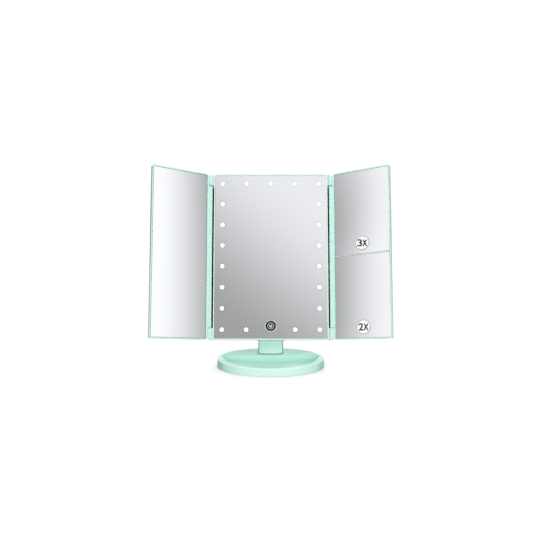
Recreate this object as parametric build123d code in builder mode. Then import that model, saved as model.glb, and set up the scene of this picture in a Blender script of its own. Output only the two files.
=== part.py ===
from build123d import *
import os
from math import cos, hypot, radians, sin, sqrt, tan

os.makedirs("parts", exist_ok=True)

# Trifold vanity mirror on an oval tray base, in millimetres.
# X runs to the user's right, Y away from the user and Z up.
# The origin is the middle of the pad's underside, on the table.
# Head pieces are drawn in the head's own frame: u to the right, v up the mirror from the
# foot of the glass, n out of the glass towards the user.

# ---------------------------------------------------------------- driving dimensions

# Base
base_half_width = 75.0
base_half_depth = 54.0
base_height = 12.2  # at the middle of the oval
base_slope = 1.26  # degrees, the top falls towards the user
base_draft = 0.8
base_wall = 2.0
base_edge_radius = 1.0
tray_to_neck = 3.8
tray_rim_side = 2.6  # at the tray's back corners
tray_rim_front = 3.4
tray_floor = 1.2
tray_corner = 1.0
tray_edge_radius = 0.5
pad_thickness = 1.0
pad_recess = 0.6
pad_inset = 4.0
seat_clearance = 0.15

# Base plate, its screws and the counterweight
plate_thickness = 1.6
plate_boss_radius = 3.2
plate_screw_radius = 1.0
plate_screw_length = 7.0
plate_head_radius = 2.4
plate_head_height = 1.0
plate_side_boss_inset = 27.0  # in from the base's side
plate_side_boss_ahead = 5.0  # in front of the neck's middle
plate_rear_boss_inset = 8.0  # in from the base's back
weight_headroom = 0.8
weight_clearance = 0.6

# Neck
neck_foot_inset = 24.0  # neck's middle in from the base's back edge
neck_foot_depth = 24.0
neck_top_width = 34.6
neck_flare = 1.2  # wider at the foot than at the pin, each side
neck_bulge = 4.5  # how far the front and back swell, in plan
neck_corner = 2.5
neck_head_radius = 9.0
neck_screw_spacing = 20.0
neck_screw_radius = 1.5
neck_screw_depth = 12.0
neck_screw_head_radius = 3.0
neck_screw_head_height = 1.8
screw_clearance = 0.3

# Tilt joint
pivot_set_back = 0.8  # pin behind the middle of the neck's foot
pivot_z = 46.3
pivot_up = 14.0  # above the foot of the glass
pivot_back = 17.5  # behind the face of the glass
lean = 16.15  # degrees that the head leans back at rest
tilt_pin_radius = 2.5
running_clearance = 0.05
washer_radius = 6.5
washer_thickness = 0.8
washer_clearance = 0.1
washer_gap = 0.4  # washer to the neck's side

# Main mirror, its light windows and the touch button
mirror_width = 162.0
mirror_height = 238.5
mirror_thickness = 2.0
mirror_corner = 1.0
glass_clearance = 0.1
led_side_margin = 10.95  # window centres in from the edges of the glass
led_foot_margin = 12.55
led_top_margin = 11.75
led_rows = 8
window_radius = 3.25
window_clearance = 0.05
window_sink = 0.05  # the light windows end this far under the glass face
touch_above_row = 5.4
touch_radius = 8.75
touch_flange = 0.7
touch_flange_thickness = 0.8
touch_ring_outer = 7.0
touch_ring_inner = 5.3
power_ring_outer = 3.65
power_ring_inner = 2.95
power_gap = 2.4
power_stem = 3.4
mark_depth = 0.15

# Front frame
bezel = 2.0
bezel_lip = 0.3
frame_depth = 9.0
frame_corner = 2.8
bezel_edge_radius = 0.4
ledge_width = 4.0
ledge_thickness = 1.5
boss_radius = 3.2
boss_inset = 2.8
boss_end_margin = 24.0
frame_screw_radius = 0.9
frame_screw_end_gap = 0.5
frame_screw_head_radius = 2.0
frame_screw_head_height = 1.1
apron_thickness = 1.5

# Wing hinges
hinge_gap = 4.0  # frame side to hinge axis
hinge_out = 0.5  # hinge axis in front of the glass face
knuckle_radius = 3.9
knuckle_length = 17.0
knuckle_drop = 2.0  # top knuckles end this far under the frame's top
flange_front = 5.0
barrel_radius = 2.1
hinge_pin_radius = 1.0
hinge_pin_reach = 12.0
hinge_end_gap = 0.3

# Light unit
light_strip = 8.0
diffuser_thickness = 1.5
led_size = 3.5
led_height = 1.4
led_gap = 0.3
board_thickness = 1.2
light_break = 23.0  # half width of the gap in the bottom strip, at the touch button
touch_board_thickness = 1.2
ribbon_width = 5.0
ribbon_thickness = 0.3

# Rear housing
housing_wall = 2.0
housing_edge_radius = 1.4
hump_top_room = 4.0  # control board to the hump's top wall
hump_foot = 0.0  # above the foot of the glass
hump_corner = 7.0
hump_edge_radius = 2.2
notch_roof = 11.0  # above the tilt pin
cheek = 3.0
post_radius = 2.0

# Battery compartment
cell_radius = 7.25
cell_length = 49.2
cell_nub_radius = 2.75
cell_nub_length = 1.3
cell_gap = 0.3
cell_count = 4
pocket_front = 7.9  # face of the pocket's floor behind the glass face
notch_to_pocket = 4.3
pocket_wall = 3.7
pocket_side_room = 0.35
pocket_floor = 1.5
cover_thickness = 1.5
cover_margin = 1.8
cover_grip_count = 3
cover_grip_pitch = 3.6
cover_grip_length = 20.0
cover_grip_width = 1.2
cover_grip_height = 0.5
cover_grip_down = 7.5  # middle grip below the top of the pocket
contact_width = 10.0
contact_plate = 0.5
contact_button = 1.2
contact_button_radius = 3.2
contact_spring = 2.8
contact_strip = 0.4
contact_leaf_width = 6.6

# Control board, switch and inlet socket
control_side_room = 3.0
control_height = 28.0
pocket_to_control = 4.8
control_thickness = 1.6
control_post_inset = 3.5
driver_chip = (-15.5, 0.0, 1.6)  # across, up from the board's middle, height
driver_chip_size = (10.5, 7.0)
coil = (10.3, 5.6, 3.2)
coil_side = 7.0
capacitor = (17.7, -5.6, 4.8)
capacitor_radius = 3.5
battery_lead_x = 20.7
led_lead_x = 23.8
switch_x = -14.0
switch_width = 13.0
switch_height = 7.0
switch_depth = 5.8
switch_travel = 4.0
switch_gap = 1.0  # switch body to the housing
knob_width = 4.4
knob_height = 3.0
knob_proud = 1.6
knob_engagement = 1.8  # knob's root inside the switch body
knob_end_clearance = 1.0
knob_clearance = 0.2
knob_groove_width = 0.6
knob_groove_depth = 0.5
knob_groove_pitch = 1.5
socket_length = 6.1
socket_width = 7.4
socket_height = 2.9
socket_wall = 0.35
socket_sink = 0.4
socket_tongue = 3.6
lead_radius = 0.6
lead_bend = 1.4
lead_end = 0.2  # straight end of an LED lead at its board

# Wings
wing_angle = 26.5  # degrees that each wing stands forward of the centre mirror
wing_meeting_gap = 0.5  # wing edge to the centre line when closed
wing_thickness = 8.0
wing_setback = 0.3  # wing face behind the hinge axis
wing_to_knuckle = 0.7
wing_rim = 1.5
wing_inner_rim = 1.1
wing_wall = 1.6
wing_corner = 1.6
wing_edge_radius = 1.0
wing_glass_sink = 0.3
wing_glass_thickness = 2.0
web_depth = 3.7
split_height = 118.0
divider_thickness = 0.9
upper_mirror_radius = 1800.0
lower_mirror_radius = 2500.0
foam_inset = 6.0
label_radius = 10.2
label_thickness = 0.35
label_shift = 0.95  # outwards from the middle of the wing's glass
label_up = 15.2


# ---------------------------------------------------------------- frames and helpers

neck_foot_y = base_half_depth - neck_foot_inset
pivot_y = neck_foot_y + pivot_set_back
tray_back_y = neck_foot_y - neck_foot_depth / 2 - tray_to_neck
lean_sin = sin(radians(lean))
lean_cos = cos(radians(lean))
glass_foot_y = pivot_y - pivot_up * lean_sin - pivot_back * lean_cos
glass_foot_z = pivot_z - pivot_up * lean_cos + pivot_back * lean_sin
head = Plane(origin=(0, glass_foot_y, glass_foot_z), x_dir=(1, 0, 0), z_dir=(0, -lean_cos, lean_sin))
slope_sin = sin(radians(base_slope))
slope_cos = cos(radians(base_slope))
base_top = Plane(origin=(0, 0, base_height), x_dir=(1, 0, 0), z_dir=(0, -slope_sin, slope_cos))
base_highest = base_height + base_half_depth * tan(radians(base_slope))


def at_head(u, v, n):
    """World point of the head coordinates u, v, n."""
    return head.from_local_coords(Vector(u, v, n))


def facing_up(u, v, n, up=1):
    """Plane at a head point, facing up the head, or down it where up is -1."""
    return Plane(origin=at_head(u, v, n), x_dir=head.x_dir, z_dir=head.y_dir * up)


def facing_right(u, v, n):
    """Plane at a head point, facing the user's right: local x up the head, local y to the front."""
    return Plane(origin=at_head(u, v, n), x_dir=head.y_dir, z_dir=head.x_dir)


def wing_plane(side, m=0.0):
    """A wing's own plane: local x is side times the distance from the hinge, local z its front."""
    turn = radians(wing_angle)
    x_dir = head.x_dir * cos(turn) + head.z_dir * (side * sin(turn))
    z_dir = head.z_dir * cos(turn) - head.x_dir * (side * sin(turn))
    return Plane(origin=at_head(side * hinge_x, 0, hinge_out), x_dir=x_dir, z_dir=z_dir).offset(m)


def save(piece, name):
    """Label a finished piece and write its STEP file."""
    piece.part.label = name
    export_step(piece.part, f"parts/{name}.step")


# Places that several pieces share
middle_v = mirror_height / 2
frame_half_width = mirror_width / 2 + bezel
frame_height = mirror_height + 2 * bezel
hinge_x = frame_half_width + hinge_gap
back_half_width = hinge_x + knuckle_radius
boss_x = mirror_width / 2 - boss_inset
boss_rows = (boss_end_margin, middle_v, mirror_height - boss_end_margin)
boss_points = [(side * boss_x, v) for side in (-1, 1) for v in boss_rows]
ledge_back = mirror_thickness + ledge_thickness
frame_screw_length = frame_depth - ledge_back - frame_screw_end_gap
housing_back = frame_depth + housing_wall
notch_half_width = neck_top_width / 2 + washer_gap + washer_thickness
cheek_top = pivot_up + notch_roof + cheek
touch_board_front = mirror_thickness + touch_flange_thickness
apron_back = touch_board_front + touch_board_thickness + apron_thickness

# Battery pocket, hump round it, and control board above it
cell_pitch = 2 * cell_radius + cell_gap
pocket_half_width = cell_pitch * cell_count / 2 + pocket_side_room
pocket_length = 2 * contact_plate + contact_spring + cell_length + cell_nub_length + contact_button
pocket_foot = cheek_top + notch_to_pocket + pocket_wall
pocket_middle_v = pocket_foot + pocket_length / 2
pocket_end = pocket_foot + pocket_length + pocket_wall
cover_inner = pocket_front + 2 * (cell_radius + pocket_side_room)
cell_n = -(pocket_front + pocket_side_room + cell_radius)
hump_half_width = pocket_half_width + pocket_wall + pocket_side_room + housing_wall
hump_depth = cover_inner + cover_thickness
hump_inside = hump_depth - housing_wall
control_width = 2 * (hump_half_width - housing_wall - control_side_room)
control_foot = pocket_end + pocket_to_control
control_middle_v = control_foot + control_height / 2
hump_top = control_foot + control_height + hump_top_room + housing_wall
control_back = hump_inside - switch_gap - switch_depth
control_front = control_back - control_thickness
knob_root = housing_wall + switch_gap + knob_engagement

led_column_x = mirror_width / 2 - led_side_margin
led_first_row = led_foot_margin
led_last_row = mirror_height - led_top_margin
led_row_pitch = (led_last_row - led_first_row) / (led_rows - 1)
led_middle_v = (led_first_row + led_last_row) / 2
led_rows_v = [led_first_row + row * led_row_pitch for row in range(led_rows)]
led_points = [(side * led_column_x, v) for side in (-1, 1) for v in led_rows_v]
led_points += [(side * led_column_x / 2, v) for side in (-1, 1) for v in (led_first_row, led_last_row)]
led_points += [(0, led_last_row)]
touch_v = led_first_row + touch_above_row
diffuser_back = mirror_thickness + diffuser_thickness
led_face = diffuser_back + led_gap
board_front = led_face + led_height
board_back = board_front + board_thickness

barrel_foot = -bezel + knuckle_length + hinge_end_gap
barrel_top = mirror_height + bezel - knuckle_length - hinge_end_gap
wing_inner_edge = knuckle_radius + wing_to_knuckle
wing_outer_edge = hinge_x - wing_meeting_gap
wing_back = wing_setback + wing_thickness
wing_floor = wing_back - wing_wall
wing_glass_face = wing_setback + wing_glass_sink
wing_glass_in = wing_inner_edge + wing_inner_rim + glass_clearance
wing_glass_out = wing_outer_edge - wing_rim - glass_clearance
wing_glass_foot = wing_rim - bezel + glass_clearance
wing_glass_top = mirror_height + bezel - wing_rim - glass_clearance
wing_glass_mid_x = (wing_glass_in + wing_glass_out) / 2

plate_foot = pad_thickness
shell_foot = pad_thickness - pad_recess
plate_top = plate_foot + plate_thickness
plate_side_boss_x = base_half_width - plate_side_boss_inset
plate_bosses = [(side * plate_side_boss_x, neck_foot_y - plate_side_boss_ahead) for side in (-1, 1)]
plate_bosses += [(0, base_half_depth - plate_rear_boss_inset)]
weight_thickness = base_height - base_wall - neck_screw_head_height - weight_headroom - plate_top
hollow_front_y = tray_back_y + base_wall
tray_half_chord = base_half_width * sqrt(1 - (tray_back_y / base_half_depth) ** 2) - tray_rim_side
tray_depth = tray_back_y + base_half_depth - tray_rim_front
tray_radius = (tray_half_chord**2 + tray_depth**2) / (2 * tray_depth)
neck_screws = [(side * neck_screw_spacing / 2, neck_foot_y) for side in (-1, 1)]


# ---------------------------------------------------------------- base

def cut_ellipse(z, half_width, half_depth, line_y, keep_front):
    """Oval cut off along a line parallel to X, as a sketch at height z."""
    side = 1 if keep_front else -1
    with BuildSketch(Plane.XY.offset(z)) as outline:
        Ellipse(half_width, half_depth)
        with Locations((0, line_y + side * half_depth)):
            Rectangle(2 * half_width, 2 * half_depth, mode=Mode.SUBTRACT)
    return outline.sketch


hollow = cut_ellipse(
    shell_foot, base_half_width - base_wall, base_half_depth - base_wall, hollow_front_y, keep_front=False
)

# Oval shell: solid rim round the tray, hollow behind it
with BuildPart() as base_shell:
    with BuildSketch(Plane.XY.offset(shell_foot)):
        Ellipse(base_half_width + base_draft, base_half_depth + base_draft)
    with BuildSketch(Plane.XY.offset(base_highest)):
        Ellipse(base_half_width, base_half_depth)
    loft()
    split(bisect_by=base_top, keep=Keep.BOTTOM)
    fillet(base_shell.faces().sort_by(Axis.Z)[-1].edges(), base_edge_radius)
    # Tray in the front half, round at the front and straight at the back
    with BuildSketch(Plane.XY.offset(plate_foot + tray_floor)) as tray:
        with Locations((0, tray_back_y - tray_depth + tray_radius)):
            Circle(tray_radius)
        with Locations((0, tray_back_y + base_half_depth)):
            Rectangle(2 * base_half_width, 2 * base_half_depth, mode=Mode.SUBTRACT)
        fillet(tray.vertices(), tray_corner)
    extrude(amount=base_highest, mode=Mode.SUBTRACT)
    fillet(base_shell.faces().sort_by(Axis.Z)[-1].inner_wires()[0].edges(), tray_edge_radius)
    # Hollow behind the tray, under the sloped top
    extrude(hollow, amount=base_highest, mode=Mode.SUBTRACT)
    with BuildSketch(base_top.offset(-base_wall)) as roof:
        Ellipse(base_half_width - base_wall / 2, base_half_depth - base_wall / 2)
        with Locations((0, tray_back_y + base_wall / 2 - base_half_depth)):
            Rectangle(2 * base_half_width, 2 * base_half_depth, mode=Mode.SUBTRACT)
    extrude(amount=base_wall)
    with Locations(*[(x, y, plate_top) for x, y in plate_bosses]):
        Cylinder(
            plate_boss_radius,
            base_highest - plate_top - base_wall / 2,
            align=(Align.CENTER, Align.CENTER, Align.MIN),
        )
    # Pilot holes of the plate screws
    with Locations(*[(x, y, plate_top) for x, y in plate_bosses]):
        Cylinder(
            plate_screw_radius,
            plate_screw_length - plate_thickness + plate_head_height,
            align=(Align.CENTER, Align.CENTER, Align.MIN),
            mode=Mode.SUBTRACT,
        )
    # Holes of the neck screws, and the recess that takes the pad
    with BuildSketch(base_top.offset(-2 * base_wall)):
        with Locations(*neck_screws):
            Circle(neck_screw_radius + screw_clearance)
    extrude(amount=3 * base_wall, mode=Mode.SUBTRACT)
    with BuildSketch(Plane.XY):
        Ellipse(base_half_width - pad_inset + seat_clearance, base_half_depth - pad_inset + seat_clearance)
    extrude(amount=plate_foot, mode=Mode.SUBTRACT)
save(base_shell, "base_shell")

# Plate that closes the hollow
with BuildPart() as base_plate:
    extrude(
        cut_ellipse(
            plate_foot,
            base_half_width - base_wall - seat_clearance,
            base_half_depth - base_wall - seat_clearance,
            hollow_front_y + seat_clearance,
            keep_front=False,
        ),
        amount=plate_thickness,
    )
    with BuildSketch(Plane.XY.offset(plate_foot)):
        with Locations(*plate_bosses):
            Circle(plate_head_radius)
    extrude(amount=plate_head_height, mode=Mode.SUBTRACT)
    with BuildSketch(Plane.XY.offset(plate_foot)):
        with Locations(*plate_bosses):
            Circle(plate_screw_radius)
    extrude(amount=plate_thickness, mode=Mode.SUBTRACT)
save(base_plate, "base_plate")

with BuildPart() as base_plate_screws:
    with BuildSketch(Plane.XY.offset(plate_foot)):
        with Locations(*plate_bosses):
            Circle(plate_head_radius)
    extrude(amount=plate_head_height)
    with BuildSketch(Plane.XY.offset(plate_foot + plate_head_height)):
        with Locations(*plate_bosses):
            Circle(plate_screw_radius)
    extrude(amount=plate_screw_length)
save(base_plate_screws, "base_plate_screws")

# Steel plate that keeps the base down
with BuildPart() as counterweight:
    extrude(
        cut_ellipse(
            plate_top,
            base_half_width - base_wall - weight_clearance,
            base_half_depth - base_wall - weight_clearance,
            hollow_front_y + weight_clearance,
            keep_front=False,
        ),
        amount=weight_thickness,
    )
    with BuildSketch(Plane.XY.offset(plate_top)):
        with Locations(*plate_bosses):
            Circle(plate_boss_radius + weight_clearance)
    extrude(amount=weight_thickness, mode=Mode.SUBTRACT)
save(counterweight, "counterweight")

with BuildPart() as base_pad:
    with BuildSketch(Plane.XY):
        Ellipse(base_half_width - pad_inset, base_half_depth - pad_inset)
    extrude(amount=pad_thickness)
save(base_pad, "base_pad")


# ---------------------------------------------------------------- neck and tilt joint

def neck_section(plane, width, depth, bulge):
    """Plan section of the neck: flat sides, front and back swelling out in arcs."""
    side = width / 2
    shoulder = depth / 2 - bulge
    with BuildSketch(plane) as section:
        with BuildLine():
            ThreePointArc((-side, -shoulder), (0, -depth / 2), (side, -shoulder))
            Line((side, -shoulder), (side, shoulder))
            ThreePointArc((side, shoulder), (0, depth / 2), (-side, shoulder))
            Line((-side, shoulder), (-side, -shoulder))
        make_face()
        fillet(section.vertices(), neck_corner)
    return section.sketch


pivot_plane = Plane(origin=(0, pivot_y, pivot_z))
neck_foot_plane = Plane(
    origin=base_top.from_local_coords(Vector(0, neck_foot_y, 0)), x_dir=(1, 0, 0), z_dir=base_top.z_dir
)
foot_section = neck_section(neck_foot_plane, neck_top_width + 2 * neck_flare, neck_foot_depth, neck_bulge)
top_section = neck_section(pivot_plane, neck_top_width, 2 * neck_head_radius, neck_bulge)

with BuildPart() as neck:
    loft([foot_section, top_section])
    extrude(top_section, amount=neck_head_radius)
    # The head is rounded about the tilt pin
    with BuildSketch(Plane.YZ):
        with Locations((pivot_y, pivot_z)):
            Circle(neck_head_radius)
        with Locations((pivot_y, pivot_z / 2)):
            Rectangle(2 * neck_foot_depth, pivot_z)
    extrude(amount=neck_top_width, both=True, mode=Mode.INTERSECT)
    with BuildSketch(Plane.YZ):
        with Locations((pivot_y, pivot_z)):
            Circle(tilt_pin_radius + running_clearance)
    extrude(amount=neck_top_width, both=True, mode=Mode.SUBTRACT)
    with BuildSketch(base_top):
        with Locations(*neck_screws):
            Circle(neck_screw_radius)
    extrude(amount=neck_screw_depth, mode=Mode.SUBTRACT)
save(neck, "neck")

with BuildPart() as neck_screw_set:
    with BuildSketch(base_top.offset(-base_wall)):
        with Locations(*neck_screws):
            Circle(neck_screw_radius)
    extrude(amount=base_wall + neck_screw_depth)
    with BuildSketch(base_top.offset(-base_wall)):
        with Locations(*neck_screws):
            Circle(neck_screw_head_radius)
    extrude(amount=-neck_screw_head_height)
save(neck_screw_set, "neck_screws")

with BuildPart() as tilt_pin:
    with BuildSketch(Plane.YZ):
        with Locations((pivot_y, pivot_z)):
            Circle(tilt_pin_radius)
    extrude(amount=notch_half_width + cheek, both=True)
save(tilt_pin, "tilt_pin")

with BuildPart() as friction_washers:
    for side in (-1, 1):
        with BuildSketch(Plane.YZ.offset(side * notch_half_width)):
            with Locations((pivot_y, pivot_z)):
                Circle(washer_radius)
                Circle(tilt_pin_radius + washer_clearance, mode=Mode.SUBTRACT)
        extrude(amount=-side * washer_thickness)
save(friction_washers, "friction_washers")


# ---------------------------------------------------------------- front frame

with BuildPart() as front_frame:
    # Wall round the glass
    with BuildSketch(head.offset(-flange_front)):
        with Locations((0, middle_v)):
            RectangleRounded(2 * frame_half_width, frame_height, frame_corner)
    extrude(amount=flange_front + bezel_lip)
    fillet(front_frame.faces().sort_by(Axis(head.origin, head.z_dir))[-1].edges(), bezel_edge_radius)
    # Hinge knuckles at the four corners, joined to the flange behind them
    web_width = hinge_gap + bezel / 2 + knuckle_radius
    for side in (-1, 1):
        for foot, length in (
            (-bezel, knuckle_length),
            (mirror_height + bezel - knuckle_length, knuckle_length - knuckle_drop),
        ):
            with BuildSketch(facing_up(side * hinge_x, foot, hinge_out)):
                Circle(knuckle_radius)
                with Locations((side * (knuckle_radius - web_width / 2), (frame_depth + hinge_out) / 2)):
                    Rectangle(web_width, frame_depth + hinge_out)
            extrude(amount=length)
    # Seen from the front, their far ends are rounded like the flange
    with BuildSketch(head.offset(-frame_depth)):
        with Locations((0, middle_v - knuckle_drop / 2)):
            RectangleRounded(2 * back_half_width, frame_height - knuckle_drop, frame_corner)
        with Locations((0, mirror_height)):
            Rectangle(2 * frame_half_width, frame_height)
    extrude(amount=frame_depth + hinge_out + knuckle_radius, mode=Mode.INTERSECT)
    # The flange that closes the back
    with BuildSketch(head.offset(-frame_depth)):
        with Locations((0, middle_v)):
            RectangleRounded(2 * back_half_width, frame_height, frame_corner)
    extrude(amount=frame_depth - flange_front)
    # Room behind the ledge, the ledge's window and the seat of the glass
    with BuildSketch(head.offset(-frame_depth)):
        with Locations((0, middle_v)):
            RectangleRounded(mirror_width, mirror_height, mirror_corner)
    extrude(amount=frame_depth - ledge_back, mode=Mode.SUBTRACT)
    with BuildSketch(head.offset(-ledge_back)):
        with Locations((0, middle_v)):
            RectangleRounded(mirror_width - 2 * ledge_width, mirror_height - 2 * ledge_width, mirror_corner)
    extrude(amount=ledge_thickness, mode=Mode.SUBTRACT)
    with BuildSketch(head.offset(-mirror_thickness)):
        with Locations((0, middle_v)):
            RectangleRounded(
                mirror_width + 2 * glass_clearance, mirror_height + 2 * glass_clearance, mirror_corner
            )
    extrude(amount=mirror_thickness + bezel_lip, mode=Mode.SUBTRACT)
    # Apron behind the touch button, thin enough to let the neck pass
    with BuildSketch(head.offset(-apron_back)):
        with Locations((0, (cheek_top - bezel) / 2)):
            Rectangle(2 * (notch_half_width + cheek), cheek_top + bezel)
    extrude(amount=apron_thickness)
    with BuildSketch(head.offset(-frame_depth)):
        with Locations((0, 0)):
            Rectangle(2 * (notch_half_width + cheek), 3 * bezel)
    extrude(amount=frame_depth - apron_back, mode=Mode.SUBTRACT)
    # Screw bosses
    with BuildSketch(head.offset(-frame_depth)):
        with Locations(*boss_points):
            Circle(boss_radius)
    extrude(amount=frame_depth - ledge_back)
    with BuildSketch(head.offset(-frame_depth)):
        with Locations(*boss_points):
            Circle(frame_screw_radius)
    extrude(amount=frame_screw_length, mode=Mode.SUBTRACT)
    # Holes of the hinge pins
    for side in (-1, 1):
        for foot, up in ((knuckle_length - bezel, -1), (mirror_height + bezel - knuckle_length, 1)):
            with BuildSketch(facing_up(side * hinge_x, foot, hinge_out, up)):
                Circle(hinge_pin_radius)
            extrude(amount=hinge_pin_reach, mode=Mode.SUBTRACT)
save(front_frame, "front_frame")

with BuildPart() as wing_hinge_pins:
    for side in (-1, 1):
        for foot, up in ((knuckle_length - bezel, -1), (mirror_height + bezel - knuckle_length, 1)):
            with BuildSketch(facing_up(side * hinge_x, foot, hinge_out, up)):
                Circle(hinge_pin_radius)
            extrude(amount=hinge_pin_reach)
            with BuildSketch(facing_up(side * hinge_x, foot, hinge_out, up)):
                Circle(hinge_pin_radius)
            extrude(amount=-hinge_pin_reach)
save(wing_hinge_pins, "wing_hinge_pins")


# ---------------------------------------------------------------- main mirror and lights

with BuildPart() as main_mirror:
    with BuildSketch(head.offset(-mirror_thickness)):
        with Locations((0, middle_v)):
            RectangleRounded(mirror_width, mirror_height, mirror_corner)
        with Locations(*led_points):
            Circle(window_radius, mode=Mode.SUBTRACT)
        with Locations((0, touch_v)):
            Circle(touch_radius, mode=Mode.SUBTRACT)
    extrude(amount=mirror_thickness)
save(main_mirror, "main_mirror")


def light_frame(n):
    """Sketch of the strip that follows the windows, open at the touch button."""
    with BuildSketch(head.offset(n)) as outline:
        with Locations((0, led_middle_v)):
            Rectangle(2 * led_column_x + light_strip, led_last_row - led_first_row + light_strip)
            Rectangle(
                2 * led_column_x - light_strip, led_last_row - led_first_row - light_strip, mode=Mode.SUBTRACT
            )
        with Locations((0, led_first_row)):
            Rectangle(2 * light_break, 2 * light_strip, mode=Mode.SUBTRACT)
    return outline.sketch


# Milky strip with a pip in each window
with BuildPart() as light_diffuser:
    extrude(light_frame(-diffuser_back), amount=diffuser_thickness)
    with BuildSketch(head.offset(-mirror_thickness)):
        with Locations(*led_points):
            Circle(window_radius - window_clearance)
    extrude(amount=mirror_thickness - window_sink)
save(light_diffuser, "light_diffuser")

with BuildPart() as led_board:
    extrude(light_frame(-board_back), amount=board_thickness)
save(led_board, "led_board")

with BuildPart() as leds:
    with BuildSketch(head.offset(-board_front)):
        with Locations(*led_points):
            Rectangle(led_size, led_size)
    extrude(amount=led_height)
save(leds, "leds")

# Touch button: a window in the mirror with a sunk ring and power mark
with BuildPart() as touch_button:
    with BuildSketch(head.offset(-mirror_thickness)):
        with Locations((0, touch_v)):
            Circle(touch_radius - window_clearance)
    extrude(amount=mirror_thickness - window_sink)
    with BuildSketch(head.offset(-mirror_thickness)):
        with Locations((0, touch_v)):
            Circle(touch_radius + touch_flange)
    extrude(amount=-touch_flange_thickness)
    with BuildSketch(head.offset(-window_sink)):
        with Locations((0, touch_v)):
            Circle(touch_ring_outer)
            Circle(touch_ring_inner, mode=Mode.SUBTRACT)
            Circle(power_ring_outer)
            Circle(power_ring_inner, mode=Mode.SUBTRACT)
        with Locations((0, touch_v + power_ring_outer)):
            Rectangle(power_gap, power_ring_outer, mode=Mode.SUBTRACT)
        with Locations((0, touch_v + power_ring_outer - power_stem / 2)):
            Rectangle(power_ring_outer - power_ring_inner, power_stem)
    extrude(amount=-mark_depth, mode=Mode.SUBTRACT)
save(touch_button, "touch_button")

with BuildPart() as touch_board:
    with BuildSketch(head.offset(-touch_board_front)):
        with Locations((0, touch_v)):
            Circle(touch_radius)
    extrude(amount=-touch_board_thickness)
save(touch_board, "touch_board")

# Flat ribbon from the touch board up to the control board
ribbon_foot = touch_v + touch_radius
ribbon_top = control_foot + control_height / 2
ribbon_back = touch_board_front + ribbon_thickness
with BuildPart() as touch_ribbon:
    with BuildSketch(facing_right(0, 0, 0)):
        with Locations(((ribbon_foot + ribbon_top) / 2, -(touch_board_front + ribbon_back) / 2)):
            Rectangle(ribbon_top - ribbon_foot, ribbon_thickness)
        with Locations((ribbon_top - ribbon_thickness / 2, -(touch_board_front + control_front) / 2)):
            Rectangle(ribbon_thickness, control_front - touch_board_front)
    extrude(amount=ribbon_width / 2, both=True)
save(touch_ribbon, "touch_ribbon")


# ---------------------------------------------------------------- rear housing

control_posts = [
    (across * (control_width / 2 - control_post_inset), v)
    for across in (-1, 1)
    for v in (control_foot + control_post_inset, control_foot + control_height - control_post_inset)
]
light_post_rows = [led_rows_v[row] + led_row_pitch / 2 for row in (0, 3, 6)]
light_posts = [(side * led_column_x, v) for side in (-1, 1) for v in light_post_rows]
light_posts += [(side * led_column_x / 4, led_last_row) for side in (-1, 1)]

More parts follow.
